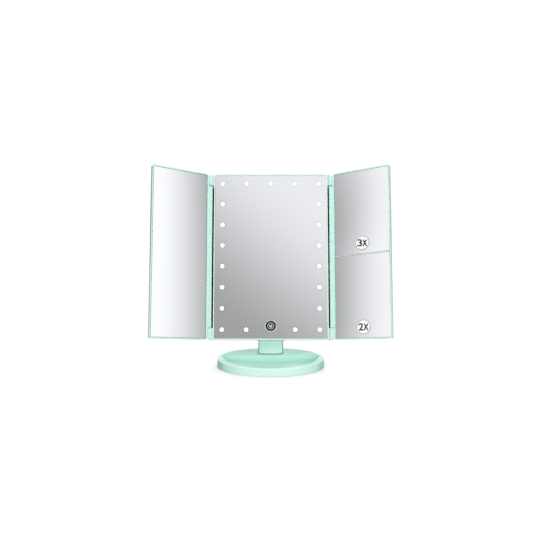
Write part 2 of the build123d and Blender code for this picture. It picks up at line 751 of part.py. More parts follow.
with BuildPart() as rear_housing:
    # Back panel with the hump for batteries and electronics
    with BuildSketch(head.offset(-housing_back)):
        with Locations((0, middle_v)):
            RectangleRounded(2 * back_half_width, frame_height, frame_corner)
    extrude(amount=housing_wall)
    fillet(rear_housing.faces().sort_by(Axis(head.origin, head.z_dir))[0].edges(), housing_edge_radius)
    with BuildSketch(head.offset(-hump_depth)):
        with Locations((0, (hump_top + hump_foot) / 2)):
            RectangleRounded(2 * hump_half_width, hump_top - hump_foot, hump_corner)
    extrude(amount=hump_depth - frame_depth)
    fillet(rear_housing.faces().sort_by(Axis(head.origin, head.z_dir))[0].edges(), hump_edge_radius)
    with BuildSketch(head.offset(-hump_inside)):
        with Locations((0, (hump_top + hump_foot) / 2)):
            RectangleRounded(
                2 * (hump_half_width - housing_wall),
                hump_top - hump_foot - 2 * housing_wall,
                hump_corner - housing_wall,
            )
    extrude(amount=hump_inside - frame_depth, mode=Mode.SUBTRACT)
    # Cheeks of the tilt joint
    with BuildSketch(head.offset(-hump_depth)):
        with Locations((0, (cheek_top - bezel) / 2)):
            Rectangle(2 * (notch_half_width + cheek), cheek_top + bezel)
    extrude(amount=hump_depth - apron_back)
    with BuildSketch(head.offset(-hump_depth)):
        with Locations((0, (pivot_up + notch_roof) / 2 - bezel)):
            Rectangle(2 * notch_half_width, pivot_up + notch_roof + 2 * bezel)
    extrude(amount=hump_depth - apron_back, mode=Mode.SUBTRACT)
    with BuildSketch(Plane.YZ):
        with Locations((pivot_y, pivot_z)):
            Circle(tilt_pin_radius)
    extrude(amount=notch_half_width + cheek, both=True, mode=Mode.SUBTRACT)
    # Battery compartment, open at the back, with a rebate for its cover
    with BuildSketch(head.offset(-pocket_front + pocket_floor)):
        with Locations((0, pocket_middle_v)):
            Rectangle(2 * (pocket_half_width + pocket_wall), pocket_length + 2 * pocket_wall)
    extrude(amount=-(hump_inside - pocket_front + pocket_floor))
    with BuildSketch(head.offset(-pocket_front)):
        with Locations((0, pocket_middle_v)):
            Rectangle(2 * pocket_half_width, pocket_length)
    extrude(amount=-hump_depth, mode=Mode.SUBTRACT)
    with BuildSketch(head.offset(-cover_inner)):
        with Locations((0, pocket_middle_v)):
            Rectangle(2 * (pocket_half_width + cover_margin), pocket_length + 2 * cover_margin)
    extrude(amount=-hump_depth, mode=Mode.SUBTRACT)
    # Posts of the control board and of the LED board
    with BuildSketch(head.offset(-hump_inside)):
        with Locations(*control_posts):
            Circle(post_radius)
    extrude(amount=hump_inside - control_back)
    with BuildSketch(head.offset(-frame_depth)):
        with Locations(*light_posts):
            Circle(post_radius)
    extrude(amount=frame_depth - board_back)
    # Slot of the switch, hole of the socket, screw holes
    with BuildSketch(head.offset(-hump_depth)):
        with Locations((switch_x, control_middle_v)):
            Rectangle(knob_width + switch_travel + 2 * knob_clearance, knob_height + 2 * knob_clearance)
    extrude(amount=housing_wall, mode=Mode.SUBTRACT)
    with BuildSketch(facing_right(hump_half_width, control_middle_v, -control_back - socket_height / 2)):
        Rectangle(socket_width + 2 * glass_clearance, socket_height + 2 * glass_clearance)
    extrude(amount=-housing_wall, mode=Mode.SUBTRACT)
    with BuildSketch(head.offset(-housing_back)):
        with Locations(*boss_points):
            Circle(frame_screw_radius + screw_clearance)
    extrude(amount=housing_wall, mode=Mode.SUBTRACT)
    with BuildSketch(head.offset(-housing_back)):
        with Locations(*boss_points):
            Circle(frame_screw_head_radius + glass_clearance)
    extrude(amount=frame_screw_head_height, mode=Mode.SUBTRACT)
save(rear_housing, "rear_housing")

with BuildPart() as housing_screws:
    with BuildSketch(head.offset(-housing_back)):
        with Locations(*boss_points):
            Circle(frame_screw_head_radius)
    extrude(amount=frame_screw_head_height)
    with BuildSketch(head.offset(-housing_back)):
        with Locations(*boss_points):
            Circle(frame_screw_radius)
    extrude(amount=housing_wall + frame_screw_length)
save(housing_screws, "housing_screws")


# ---------------------------------------------------------------- batteries

def cell_plane(index):
    """Plane at a cell's negative end of the pocket, facing its positive end."""
    u = (index - (cell_count - 1) / 2) * cell_pitch
    if index % 2 == 0:
        return facing_up(u, pocket_foot, cell_n)
    return facing_up(u, pocket_foot + pocket_length, cell_n, up=-1)


cell_start = contact_plate + contact_spring
for index in range(cell_count):
    with BuildPart() as battery_cell:
        with BuildSketch(cell_plane(index).offset(cell_start)):
            Circle(cell_radius)
        extrude(amount=cell_length)
        with BuildSketch(cell_plane(index).offset(cell_start + cell_length)):
            Circle(cell_nub_radius)
        extrude(amount=cell_nub_length)
    save(battery_cell, f"battery_cell_{index + 1}")

# A leaf spring at each negative end and a raised button at each positive end
with BuildPart() as battery_contacts:
    for index in range(cell_count):
        negative_end = cell_plane(index)
        with BuildSketch(negative_end):
            Rectangle(contact_width, contact_width)
        extrude(amount=contact_plate)
        leaf = Plane(origin=negative_end.origin, x_dir=negative_end.z_dir, z_dir=negative_end.x_dir)
        foot = contact_width / 2
        tip = contact_plate + contact_spring
        with BuildSketch(leaf):
            with BuildLine():
                Polyline(
                    (contact_plate, -foot),
                    (tip, 0),
                    (contact_plate, foot),
                    (contact_plate, foot - 2 * contact_strip),
                    (tip - contact_strip, 0),
                    (contact_plate, -foot + 2 * contact_strip),
                    close=True,
                )
            make_face()
        extrude(amount=contact_leaf_width / 2, both=True)
        positive_end = negative_end.offset(pocket_length)
        with BuildSketch(positive_end):
            Rectangle(contact_width, contact_width)
        extrude(amount=-contact_plate)
        with BuildSketch(positive_end.offset(-contact_plate)):
            Circle(contact_button_radius)
        extrude(amount=-contact_button)
save(battery_contacts, "battery_contacts")

with BuildPart() as battery_cover:
    with BuildSketch(head.offset(-cover_inner)):
        with Locations((0, pocket_middle_v)):
            Rectangle(
                2 * (pocket_half_width + cover_margin - seat_clearance),
                pocket_length + 2 * (cover_margin - seat_clearance),
            )
    extrude(amount=-cover_thickness)
    # Finger grips near the top edge
    with BuildSketch(head.offset(-hump_depth)):
        with Locations((0, pocket_foot + pocket_length - cover_grip_down)):
            with GridLocations(0, cover_grip_pitch, 1, cover_grip_count):
                SlotOverall(cover_grip_length, cover_grip_width)
    extrude(amount=-cover_grip_height)
save(battery_cover, "battery_cover")


# ---------------------------------------------------------------- electronics

with BuildPart() as control_board:
    with BuildSketch(head.offset(-control_back)):
        with Locations((0, control_middle_v)):
            RectangleRounded(control_width, control_height, mirror_corner)
    extrude(amount=control_thickness)
save(control_board, "control_board")

# Driver chip, coil and capacitor on the board's front
with BuildPart() as control_chips:
    with BuildSketch(head.offset(-control_front)):
        with Locations((driver_chip[0], control_middle_v + driver_chip[1])):
            Rectangle(*driver_chip_size)
    extrude(amount=driver_chip[2])
    with BuildSketch(head.offset(-control_front)):
        with Locations((coil[0], control_middle_v + coil[1])):
            RectangleRounded(coil_side, coil_side, mirror_corner)
    extrude(amount=coil[2])
    with BuildSketch(head.offset(-control_front)):
        with Locations((capacitor[0], control_middle_v + capacitor[1])):
            Circle(capacitor_radius)
    extrude(amount=capacitor[2])
save(control_chips, "control_chips")

with BuildPart() as switch_body:
    with BuildSketch(head.offset(-control_back)):
        with Locations((switch_x, control_middle_v)):
            Rectangle(switch_width, switch_height)
    extrude(amount=-switch_depth)
    with BuildSketch(head.offset(-control_back - switch_depth)):
        with Locations((switch_x, control_middle_v)):
            Rectangle(knob_width + switch_travel + 2 * knob_clearance, knob_height + 2 * knob_clearance)
    extrude(amount=knob_engagement + knob_end_clearance, mode=Mode.SUBTRACT)
save(switch_body, "switch_body")

# The knob stands at the on end of its slot
with BuildPart() as switch_knob:
    with BuildSketch(head.offset(-hump_depth - knob_proud)):
        with Locations((switch_x - switch_travel / 2, control_middle_v)):
            Rectangle(knob_width, knob_height)
    extrude(amount=knob_proud + knob_root)
    with BuildSketch(head.offset(-hump_depth - knob_proud)):
        with Locations((switch_x - switch_travel / 2, control_middle_v)):
            with GridLocations(knob_groove_pitch, 0, 2, 1):
                Rectangle(knob_groove_width, knob_height)
    extrude(amount=knob_groove_depth, mode=Mode.SUBTRACT)
save(switch_knob, "switch_knob")

# Inlet socket in the right side of the hump
socket_mouth = hump_half_width - socket_sink
socket_n = -control_back - socket_height / 2
with BuildPart() as inlet_socket:
    with BuildSketch(facing_right(socket_mouth, control_middle_v, socket_n)):
        RectangleRounded(socket_width, socket_height, socket_height / 4)
    extrude(amount=-socket_length)
    with BuildSketch(facing_right(socket_mouth, control_middle_v, socket_n)):
        RectangleRounded(
            socket_width - 2 * socket_wall, socket_height - 2 * socket_wall, socket_height / 4 - socket_wall
        )
    extrude(amount=-(socket_length - 2 * socket_wall), mode=Mode.SUBTRACT)
    socket_floor = socket_mouth - socket_length + 2 * socket_wall
    with BuildSketch(facing_right(socket_floor, control_middle_v, socket_n)):
        Rectangle(socket_width / 2, 2 * socket_wall)
    extrude(amount=socket_tongue)
save(inlet_socket, "inlet_socket")


def lead(points, start_direction):
    """Round lead along a route of head points, with tangent bends."""
    corners = [at_head(*point) for point in points]
    with BuildPart() as wire:
        with BuildLine() as path:
            FilletPolyline(*corners, radius=lead_bend)
        with BuildSketch(Plane(origin=corners[0], z_dir=start_direction)):
            Circle(lead_radius)
        sweep(path=path.wire())
    return wire.part


battery_lead_n = -control_front + 2 * lead_bend
with BuildPart() as battery_leads:
    for u in (-battery_lead_x, battery_lead_x):
        landing = control_foot + 2 * lead_bend
        route = [(u, pocket_end, battery_lead_n), (u, landing, battery_lead_n), (u, landing, -control_front)]
        add(lead(route, head.y_dir))
save(battery_leads, "battery_leads")

led_lead_n = -(board_back + lead_bend + lead_end)
with BuildPart() as led_leads:
    for u in (-led_lead_x, led_lead_x):
        start = control_foot + control_height - 2 * lead_bend
        route = [(u, start, -control_front), (u, start, led_lead_n)]
        route += [(u, led_last_row, led_lead_n), (u, led_last_row, -board_back)]
        add(lead(route, head.z_dir))
save(led_leads, "led_leads")


# ---------------------------------------------------------------- wings

def wing_block(side, x_in, x_out, foot, top, back, front, corner=0.0):
    """Upright slab on a wing, between two distances from the hinge and two depths behind its axis."""
    with BuildPart() as block:
        with BuildSketch(wing_plane(side, -back)) as outline:
            with Locations((side * (x_in + x_out) / 2, (foot + top) / 2)):
                Rectangle(x_out - x_in, top - foot)
            if corner > 0:
                fillet(outline.vertices(), corner)
        extrude(amount=back - front)
    return block.part


def wing_shell(side):
    """Tray that holds a wing's glass, with its hinge barrel."""
    with BuildPart() as shell:
        add(
            wing_block(
                side,
                wing_inner_edge,
                wing_outer_edge,
                -bezel,
                mirror_height + bezel,
                wing_back,
                wing_setback,
                wing_corner,
            )
        )
        facing = Axis(wing_plane(side).origin, wing_plane(side).z_dir)
        fillet(shell.faces().sort_by(facing)[0].edges(), wing_edge_radius)
        add(
            wing_block(
                side,
                wing_inner_edge + wing_inner_rim,
                wing_outer_edge - wing_rim,
                wing_rim - bezel,
                mirror_height + bezel - wing_rim,
                wing_floor,
                wing_setback - bezel_lip,
            ),
            mode=Mode.SUBTRACT,
        )
        web_reach = wing_inner_edge + wing_inner_rim / 2
        add(wing_block(side, 0, web_reach, barrel_foot, barrel_top, wing_setback + web_depth, wing_setback))
        with BuildSketch(facing_up(side * hinge_x, barrel_foot, hinge_out)):
            Circle(barrel_radius)
        extrude(amount=barrel_top - barrel_foot)
        for foot, up in ((barrel_foot, 1), (barrel_top, -1)):
            with BuildSketch(facing_up(side * hinge_x, foot, hinge_out, up)):
                Circle(hinge_pin_radius + running_clearance)
            extrude(amount=hinge_pin_reach, mode=Mode.SUBTRACT)
    return shell


save(wing_shell(-1), "left_wing_shell")
save(wing_shell(1), "right_wing_shell")

left_glass_back = wing_glass_face + wing_glass_thickness
with BuildPart() as left_mirror:
    add(
        wing_block(
            -1,
            wing_glass_in,
            wing_glass_out,
            wing_glass_foot,
            wing_glass_top,
            left_glass_back,
            wing_glass_face,
            mirror_corner,
        )
    )
save(left_mirror, "left_mirror")

with BuildPart() as left_foam:
    add(
        wing_block(
            -1,
            wing_glass_in + foam_inset,
            wing_glass_out - foam_inset,
            wing_glass_foot + foam_inset,
            wing_glass_top - foam_inset,
            wing_floor,
            left_glass_back,
        )
    )
save(left_foam, "left_foam")

with BuildPart() as mirror_divider:
    add(
        wing_block(
            1,
            wing_glass_in,
            wing_glass_out,
            split_height - divider_thickness / 2,
            split_height + divider_thickness / 2,
            wing_floor,
            wing_glass_face,
        )
    )
save(mirror_divider, "mirror_divider")


def magnifier(name, foot, top, radius):
    """Concave mirror between two heights of the right wing, with its foam pad and its label."""
    half_diagonal = hypot(wing_glass_out - wing_glass_in, top - foot) / 2
    dish = radius - sqrt(radius**2 - half_diagonal**2)
    glass_back = wing_glass_face + dish + wing_glass_thickness
    centre = wing_plane(1).from_local_coords(
        Vector(wing_glass_mid_x, (foot + top) / 2, radius - wing_glass_face - dish)
    )
    with BuildPart() as mirror:
        add(wing_block(1, wing_glass_in, wing_glass_out, foot, top, glass_back, wing_glass_face))
        with Locations(Location(centre)):
            Sphere(radius, mode=Mode.SUBTRACT)
    save(mirror, f"{name}_mirror")
    with BuildPart() as foam:
        add(
            wing_block(
                1,
                wing_glass_in + foam_inset,
                wing_glass_out - foam_inset,
                foot + foam_inset,
                top - foam_inset,
                wing_floor,
                glass_back,
            )
        )
    save(foam, f"{name}_foam")
    with BuildPart() as label:
        with BuildSketch(wing_plane(1, -glass_back)):
            with Locations((wing_glass_mid_x + label_shift, foot + label_up)):
                Circle(label_radius)
        extrude(amount=glass_back - wing_glass_face)
        with Locations(Location(centre)):
            Sphere(radius, mode=Mode.INTERSECT)
            Sphere(radius - label_thickness, mode=Mode.SUBTRACT)
    save(label, f"{name}_label")


split_half_gap = divider_thickness / 2 + glass_clearance
magnifier("lower", wing_glass_foot, split_height - split_half_gap, lower_mirror_radius)
magnifier("upper", split_height + split_half_gap, wing_glass_top, upper_mirror_radius)
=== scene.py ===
"""Looks of the trifold vanity mirror: finishes, small pieces, light and camera.

Lengths are written in millimetres and turned into metres where a mesh or a node needs them.
"""

import logging
import math
from collections.abc import Callable
from dataclasses import dataclass, field
from enum import Enum

import bmesh
import bpy
from mathutils import Matrix, Vector


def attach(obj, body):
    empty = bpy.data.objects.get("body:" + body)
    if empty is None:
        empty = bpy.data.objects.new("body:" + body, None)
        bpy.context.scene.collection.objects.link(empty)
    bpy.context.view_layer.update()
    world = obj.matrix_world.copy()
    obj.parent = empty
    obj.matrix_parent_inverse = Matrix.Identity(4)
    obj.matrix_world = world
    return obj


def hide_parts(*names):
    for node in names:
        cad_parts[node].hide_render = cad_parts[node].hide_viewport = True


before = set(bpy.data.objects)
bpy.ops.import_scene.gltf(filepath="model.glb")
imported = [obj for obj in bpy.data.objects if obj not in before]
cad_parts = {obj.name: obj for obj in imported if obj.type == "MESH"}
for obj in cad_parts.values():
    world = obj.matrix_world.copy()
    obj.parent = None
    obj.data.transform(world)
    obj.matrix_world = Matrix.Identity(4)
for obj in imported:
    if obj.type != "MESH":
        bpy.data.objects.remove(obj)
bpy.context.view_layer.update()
LOG = logging.getLogger("vanity_mirror")
MM = 0.001

Pair = tuple[float, float]
Triple = tuple[float, float, float]
Color = Triple
Shape = bmesh.types.BMesh
Socket = bpy.types.NodeSocket


def srgb(*channels: int) -> Color:
    """Linear colour of three display values from 0 to 255."""
    shares = (channel / 255 for channel in channels)
    return tuple(share / 12.92 if share <= 0.04045 else ((share + 0.055) / 1.055) ** 2.4 for share in shares)


class Side(Enum):
    """The two wings, by the sign of their X."""

    LEFT = -1
    RIGHT = 1


@dataclass(frozen=True)
class Axes:
    """Right-handed axes on the object: origin in metres, unit directions."""

    origin: Vector
    x: Vector
    y: Vector
    z: Vector

    def point(self, a: float, b: float, c: float) -> Vector:
        """Point at three distances in millimetres along the axes."""
        return self.origin + (self.x * a + self.y * b + self.z * c) * MM

    def matrix(self, a: float, b: float, c: float) -> Matrix:
        """Placement of a piece drawn in these axes, in metres, at a point given in millimetres."""
        rotation = Matrix((self.x, self.y, self.z)).transposed().to_4x4()
        return Matrix.Translation(self.point(a, b, c)) @ rotation


# Axes of the head, whose origin is at the middle of its glass's foot, and of the base's sloping top.
LEAN = math.radians(16.15)
HEAD = Axes(
    Vector((0, 10.097, 37.720)) * MM,
    Vector((1, 0, 0)),
    Vector((0, math.sin(LEAN), math.cos(LEAN))),
    Vector((0, -math.cos(LEAN), math.sin(LEAN))),
)
SLOPE = math.radians(1.26)
BASE_UP = Vector((0, -math.sin(SLOPE), math.cos(SLOPE)))
BASE_BACK = Vector((0, math.cos(SLOPE), math.sin(SLOPE)))
BASE_HEIGHT = 12.2
BASE_TOP = Axes(Vector((0, 0, BASE_HEIGHT)) * MM, HEAD.x, BASE_BACK, BASE_UP)

# Sizes in millimetres that finishes and pieces share; the channel is the gap beside a hinge barrel.
HALF_GLASS = 81.0
GLASS_HEIGHT = 238.5
HALF_WALL = 83.0
CHANNEL = (15.1, 221.8)
NECK_HALF_WIDTH = 18.5


# ---- node graphs


def operator(operation: str) -> Callable[..., "Value"]:
    """Makes a method of Value from one kind of Math node.

    Args:
        operation: the node's operation.

    Returns:
        The method, which takes the operation's other numbers.
    """

    def method(self: "Value", *others: "Value | float") -> "Value":
        """Result of the operation on this number and some others."""
        made = self.graph.node("Math", dict(enumerate((self, *others))), operation=operation)
        return Value(self.graph, made.outputs[0])

    return method


class Value:
    """A number in a node graph. Arithmetic on it adds Math nodes."""

    __add__ = __radd__ = operator("ADD")
    __sub__ = operator("SUBTRACT")
    __mul__ = __rmul__ = operator("MULTIPLY")
    __truediv__ = operator("DIVIDE")
    __pow__ = operator("POWER")
    __abs__ = operator("ABSOLUTE")
    least = operator("MINIMUM")
    most = operator("MAXIMUM")
    modulo = operator("MODULO")
    sine = operator("SINE")
    arcsine = operator("ARCSINE")
    arctan2 = operator("ARCTAN2")

    def __init__(self, graph: "Graph", socket: Socket) -> None:
        """Wraps a number socket of a graph."""
        self.graph = graph
        self.socket = socket

    def __rsub__(self, other: "Value | float") -> "Value":
        """Reflected difference."""
        return self * -1 + other

    def hypot(self, other: "Value") -> "Value":
        """Length of the diagonal of this number and another."""
        return (self * self + other * other) ** 0.5

    def above(self, limit: float, soft: float = 0.05) -> "Value":
        """Mask that is 1 above a limit.

        Args:
            limit: where the mask turns over.
            soft: half width of its soft edge.

        Returns:
            The mask, from 0 to 1.
        """
        ends = {"Value": self, "From Min": limit - soft, "From Max": limit + soft}
        made = self.graph.node("MapRange", ends, interpolation_type="SMOOTHSTEP")
        return Value(self.graph, made.outputs[0])

    def below(self, limit: float, soft: float = 0.05) -> "Value":
        """Mask that is 1 below a limit, with a soft edge."""
        return 1 - self.above(limit, soft)

    def between(self, low: float, high: float, soft: float = 0.05) -> "Value":
        """Mask that is 1 from low to high, with soft edges."""
        return self.above(low, soft) * self.below(high, soft)

    def near(self, middle: float, reach: float, soft: float = 0.05) -> "Value":
        """Mask that is 1 within reach of a middle, with soft edges."""
        return self.between(middle - reach, middle + reach, soft)

    def mix(self, first: "Value | float", second: "Value | float") -> "Value":
        """Number that goes from first to second as this mask goes from 0 to 1."""
        return first * (1 - self) + second * self


Input = Value | Socket | float | tuple


class Graph:
    """Builds the node tree of a material or of the world."""

    def __init__(self, tree: bpy.types.NodeTree) -> None:
        """Starts from an empty tree."""
        self.tree = tree
        tree.nodes.clear()

    def node(self, kind: str, inputs: dict | None = None, **settings: str) -> bpy.types.Node:
        """Adds a node.

        Args:
            kind: the node's type, without the word ShaderNode.
            inputs: values or links for its sockets, by name or number.
            **settings: its own properties, set first.

        Returns:
            The new node.
        """
        made = self.tree.nodes.new(f"ShaderNode{kind}")
        for name, value in settings.items():
            setattr(made, name, value)
        for key, value in (inputs or {}).items():
            self.feed(made.inputs[key], value)
        return made

    def feed(self, socket: Socket, value: Input) -> None:
        """Links a value into a socket, or sets it there.

        Args:
            socket: the input that takes it.
            value: a number, vector or colour, or a socket that gives one.
        """
        if isinstance(value, Value):
            self.tree.links.new(value.socket, socket)
        elif isinstance(value, Socket):
            self.tree.links.new(value, socket)
        elif socket.type == "RGBA" and len(value) == 3:
            socket.default_value = (*value, 1.0)
        else:
            socket.default_value = value

    def place(self) -> Socket:
        """Object coordinates."""
        return self.node("TexCoord").outputs["Object"]

    def vector(self, operation: str, *parts: Input) -> bpy.types.Node:
        """Vector Math node on some vectors: its output 0 is a vector, output 1 a number."""
        return self.node("VectorMath", dict(enumerate(parts)), operation=operation)

    def along(self, axes: Axes) -> tuple[Value, ...]:
        """Distances along some axes, in millimetres.

        Args:
            axes: the axes that are measured along.

        Returns:
            The three distances of the shaded point from the axes' origin.
        """
        offset = self.vector("SUBTRACT", self.place(), tuple(axes.origin)).outputs[0]
        units = [tuple(direction / MM) for direction in (axes.x, axes.y, axes.z)]
        return tuple(Value(self, self.vector("DOT_PRODUCT", offset, unit).outputs[1]) for unit in units)

    def noise(self, size: float, detail: float = 2.0, rough: float = 0.5) -> Value:
        """Even noise around 0.5 with lumps of a size in millimetres."""
        inputs = {"Vector": self.place(), "Scale": 1 / (size * MM), "Detail": detail, "Roughness": rough}
        return Value(self, self.node("TexNoise", inputs).outputs[0])

    def cells(self, size: float, metric: str = "EUCLIDEAN") -> Value:
        """Distance pattern of cells of a size in millimetres."""
        inputs = {"Vector": self.place(), "Scale": 1 / (size * MM)}
        return Value(self, self.node("TexVoronoi", inputs, distance=metric).outputs["Distance"])

    def blend(self, mask: Value, first: Input, second: Input) -> Socket:
        """Colour that goes from first to second as the mask goes from 0 to 1."""
        return self.node("Mix", {0: mask, 6: first, 7: second}, data_type="RGBA").outputs[2]


# ---- finishes


class Surface(Graph):
    """Node tree of a finish, with what the finish feeds to its shader; its height is in millimetres."""

    def __init__(self, tree: bpy.types.NodeTree, finish: "Finish") -> None:
        """Starts with a finish's fine grain and slight changes of tone.

        Args:
            tree: the material's node tree, which is emptied.
            finish: the finish that is built.
        """
        super().__init__(tree)
        cloud = self.noise(18.0)
        grain = self.noise(finish.grain, 3.0, 0.6)
        dark = tuple(channel * (1 - finish.tone) for channel in finish.color)
        light = tuple(min(1.0, channel * (1 + finish.tone)) for channel in finish.color)
        self.color = self.blend(cloud, dark, light)
        self.roughness = finish.roughness * (0.9 + 0.2 * grain)
        self.metallic: Input = finish.metallic
        self.height = grain * finish.relief
        self.glow: Socket | None = None
        self.normal: Socket | None = None

    def paint(self, mask: Value, color: Color) -> None:
        """Lays a colour over the surface where a mask is 1."""
        self.color = self.blend(mask, self.color, color)


@dataclass(frozen=True)
class Finish:
    """A moulded, painted or plated surface with fine grain and slight changes of tone."""

    name: str
    color: Color
    roughness: float
    metallic: float = 0.0
    tone: float = 0.04
    grain: float = 0.8
    relief: float = 0.004
    specular: float = 0.5
    coat: float = 0.0
    coat_roughness: float = 0.12
    glow_strength: float = 0.0

    def detail(self, surface: Surface) -> None:
        """Adds what only this finish has; the plain finish adds nothing.

        Args:
            surface: the material's nodes so far, and what they feed to the shader.
        """

    def build(self) -> bpy.types.Material:
        """Makes the finish's material."""
        material = bpy.data.materials.new(self.name)
        material.use_nodes = True
        surface = Surface(material.node_tree, self)
        self.detail(surface)
        bump = surface.node("Bump", {"Height": surface.height, "Distance": MM})
        if surface.normal is not None:
            surface.feed(bump.inputs["Normal"], surface.normal)
        inputs = {
            "Base Color": surface.color,
            "Roughness": surface.roughness,
            "Metallic": surface.metallic,
            "Normal": bump.outputs[0],
            "Specular IOR Level": self.specular,
            "Coat Weight": self.coat,
            "Coat Roughness": self.coat_roughness,
            "Emission Strength": self.glow_strength,
        }
        if surface.glow is not None:
            inputs["Emission Color"] = surface.glow
        shader = surface.node("BsdfPrincipled", inputs)
        surface.node("OutputMaterial", {"Surface": shader.outputs[0]})
        return material


MINT = srgb(199, 239, 228)
# Painted highlight on the mint.
MINT_HIGHLIGHT = srgb(232, 250, 245)
# Deeper mint of seams and marks, also used as painted shade.
MINT_SHADE = srgb(104, 150, 136)
# Painted shade in the channel beside the left barrel.
NEAR_BLACK = srgb(10, 16, 14)


@dataclass(frozen=True)
class MintPlastic(Finish):
    """Satin mint plastic, fine-grained from its mould."""

    name: str = "mint_plastic"
    color: Color = MINT
    roughness: float = 0.42
    tone: float = 0.008
    grain: float = 0.4
    relief: float = 0.0008
    coat: float = 0.1


@dataclass(frozen=True)
class SeamedMint(MintPlastic):
    """Mint plastic with a parting line round it."""

    name: str = "mint_plastic_seamed"
    seam: float = -9.0
    half_width: float = 0.22

    def detail(self, surface: Surface) -> None:
        """Darkens and sinks a thin line at one depth of the head."""
        line = surface.along(HEAD)[2].near(self.seam, self.half_width, 0.08)
        surface.paint(line * 0.75, MINT_SHADE)
        surface.height -= line * 0.1


@dataclass(frozen=True)
class FrameMint(SeamedMint):
    """Front frame: seamed mint with painted light on its lip and painted shade at the knuckles' ends."""

    name: str = "mint_plastic_frame"
    lip_depth: float = -0.12
    lip_reach: float = HALF_WALL + 0.04
    gap_shade_width: float = 0.35
    low_knuckle: float = 14.85
    high_knuckle: float = 223.65

    def detail(self, surface: Surface) -> None:
        """Paints light on the lip, each side in its own tone, and shade beside the left barrel and at knuckle
        ends.
        """
        super().detail(surface)
        across, up, out = surface.along(HEAD)
        aside = abs(across)
        lip = out.above(self.lip_depth, 0.06) * aside.below(self.lip_reach, 0.03)
        # Painted highlight on the lip; its sides, top and foot get their own tones of painted light.
        surface.paint(lip, MINT_HIGHLIGHT)
        surface.paint(lip * aside.between(HALF_GLASS, self.lip_reach, 0.03), srgb(226, 234, 231))
        surface.paint(lip * up.above(GLASS_HEIGHT - 0.1), srgb(196, 222, 213))
        surface.paint(lip * up.below(0.1), srgb(214, 238, 230))
        # Painted shade: near black on the lip's edge beside the left barrel, where the channel is in shade.
        dark = across.below(self.gap_shade_width - HALF_WALL, 0.05) * up.between(*CHANNEL)
        surface.paint(lip * dark, NEAR_BLACK)
        # Painted shade lines in the gaps where the knuckles end.
        ends = up.near(self.low_knuckle, 0.5).most(up.near(self.high_knuckle, 0.2) * 0.4)
        surface.paint(ends * aside.above(HALF_WALL + 0.3), MINT_SHADE)


@dataclass(frozen=True)
class CoverMint(MintPlastic):
    """Mint plastic of the battery cover, with painted shade along its edge where the gap round it lies."""

    name: str = "mint_plastic_cover"
    half_width: float = 31.6
    middle: float = 63.75
    half_height: float = 29.4

    def detail(self, surface: Surface) -> None:
        """Paints shade along the edge."""
        across, up, _ = surface.along(HEAD)
        margin = (self.half_width - abs(across)).least(self.half_height - abs(up - self.middle))
        # Painted shade in the gap round the cover.
        surface.paint(margin.below(0.45, 0.15) * 0.8, MINT_SHADE)


@dataclass(frozen=True)
class NeckMint(MintPlastic):
    """Mint plastic of the neck, with painted shade and highlight, darkest where it stands on the base."""

    name: str = "mint_plastic_neck"
    color: Color = srgb(202, 238, 229)
    # Height of the painted shade at the foot, where the neck stands on the base.
    seam: float = 0.8
    foot_line: Pair = (1.2, 2.4)
    head_shade: Pair = (19.2, 21.6)
    corner: float = 1.6
    taper: float = 0.0352
    front: float = 25.0

    def detail(self, surface: Surface) -> None:
        """Paints shade on the foot, the front corners and the front's top, and highlight lines inside the
        corners.
        """
        across, back, up = surface.along(BASE_TOP)
        front = back.below(self.front, 0.4)
        inside = NECK_HALF_WIDTH - abs(across) - up * self.taper
        # Painted shade at the foot and corners, highlight lines inside them, painted shadow of the head at
        # the top.
        dark = up.below(self.seam, 0.3).most(inside.below(self.corner, 0.5) * front)
        beside = inside.between(self.corner + 0.3, self.corner + 2.0, 0.5)
        highlight_lines = beside.most(up.between(*self.foot_line, 0.4)) * front
        surface.paint(highlight_lines * 0.45 * (1 - dark), MINT_HIGHLIGHT)
        surface.paint(dark * 0.9, MINT_SHADE)
        surface.paint(up.between(*self.head_shade, 0.6) * front * 0.4, MINT_SHADE)


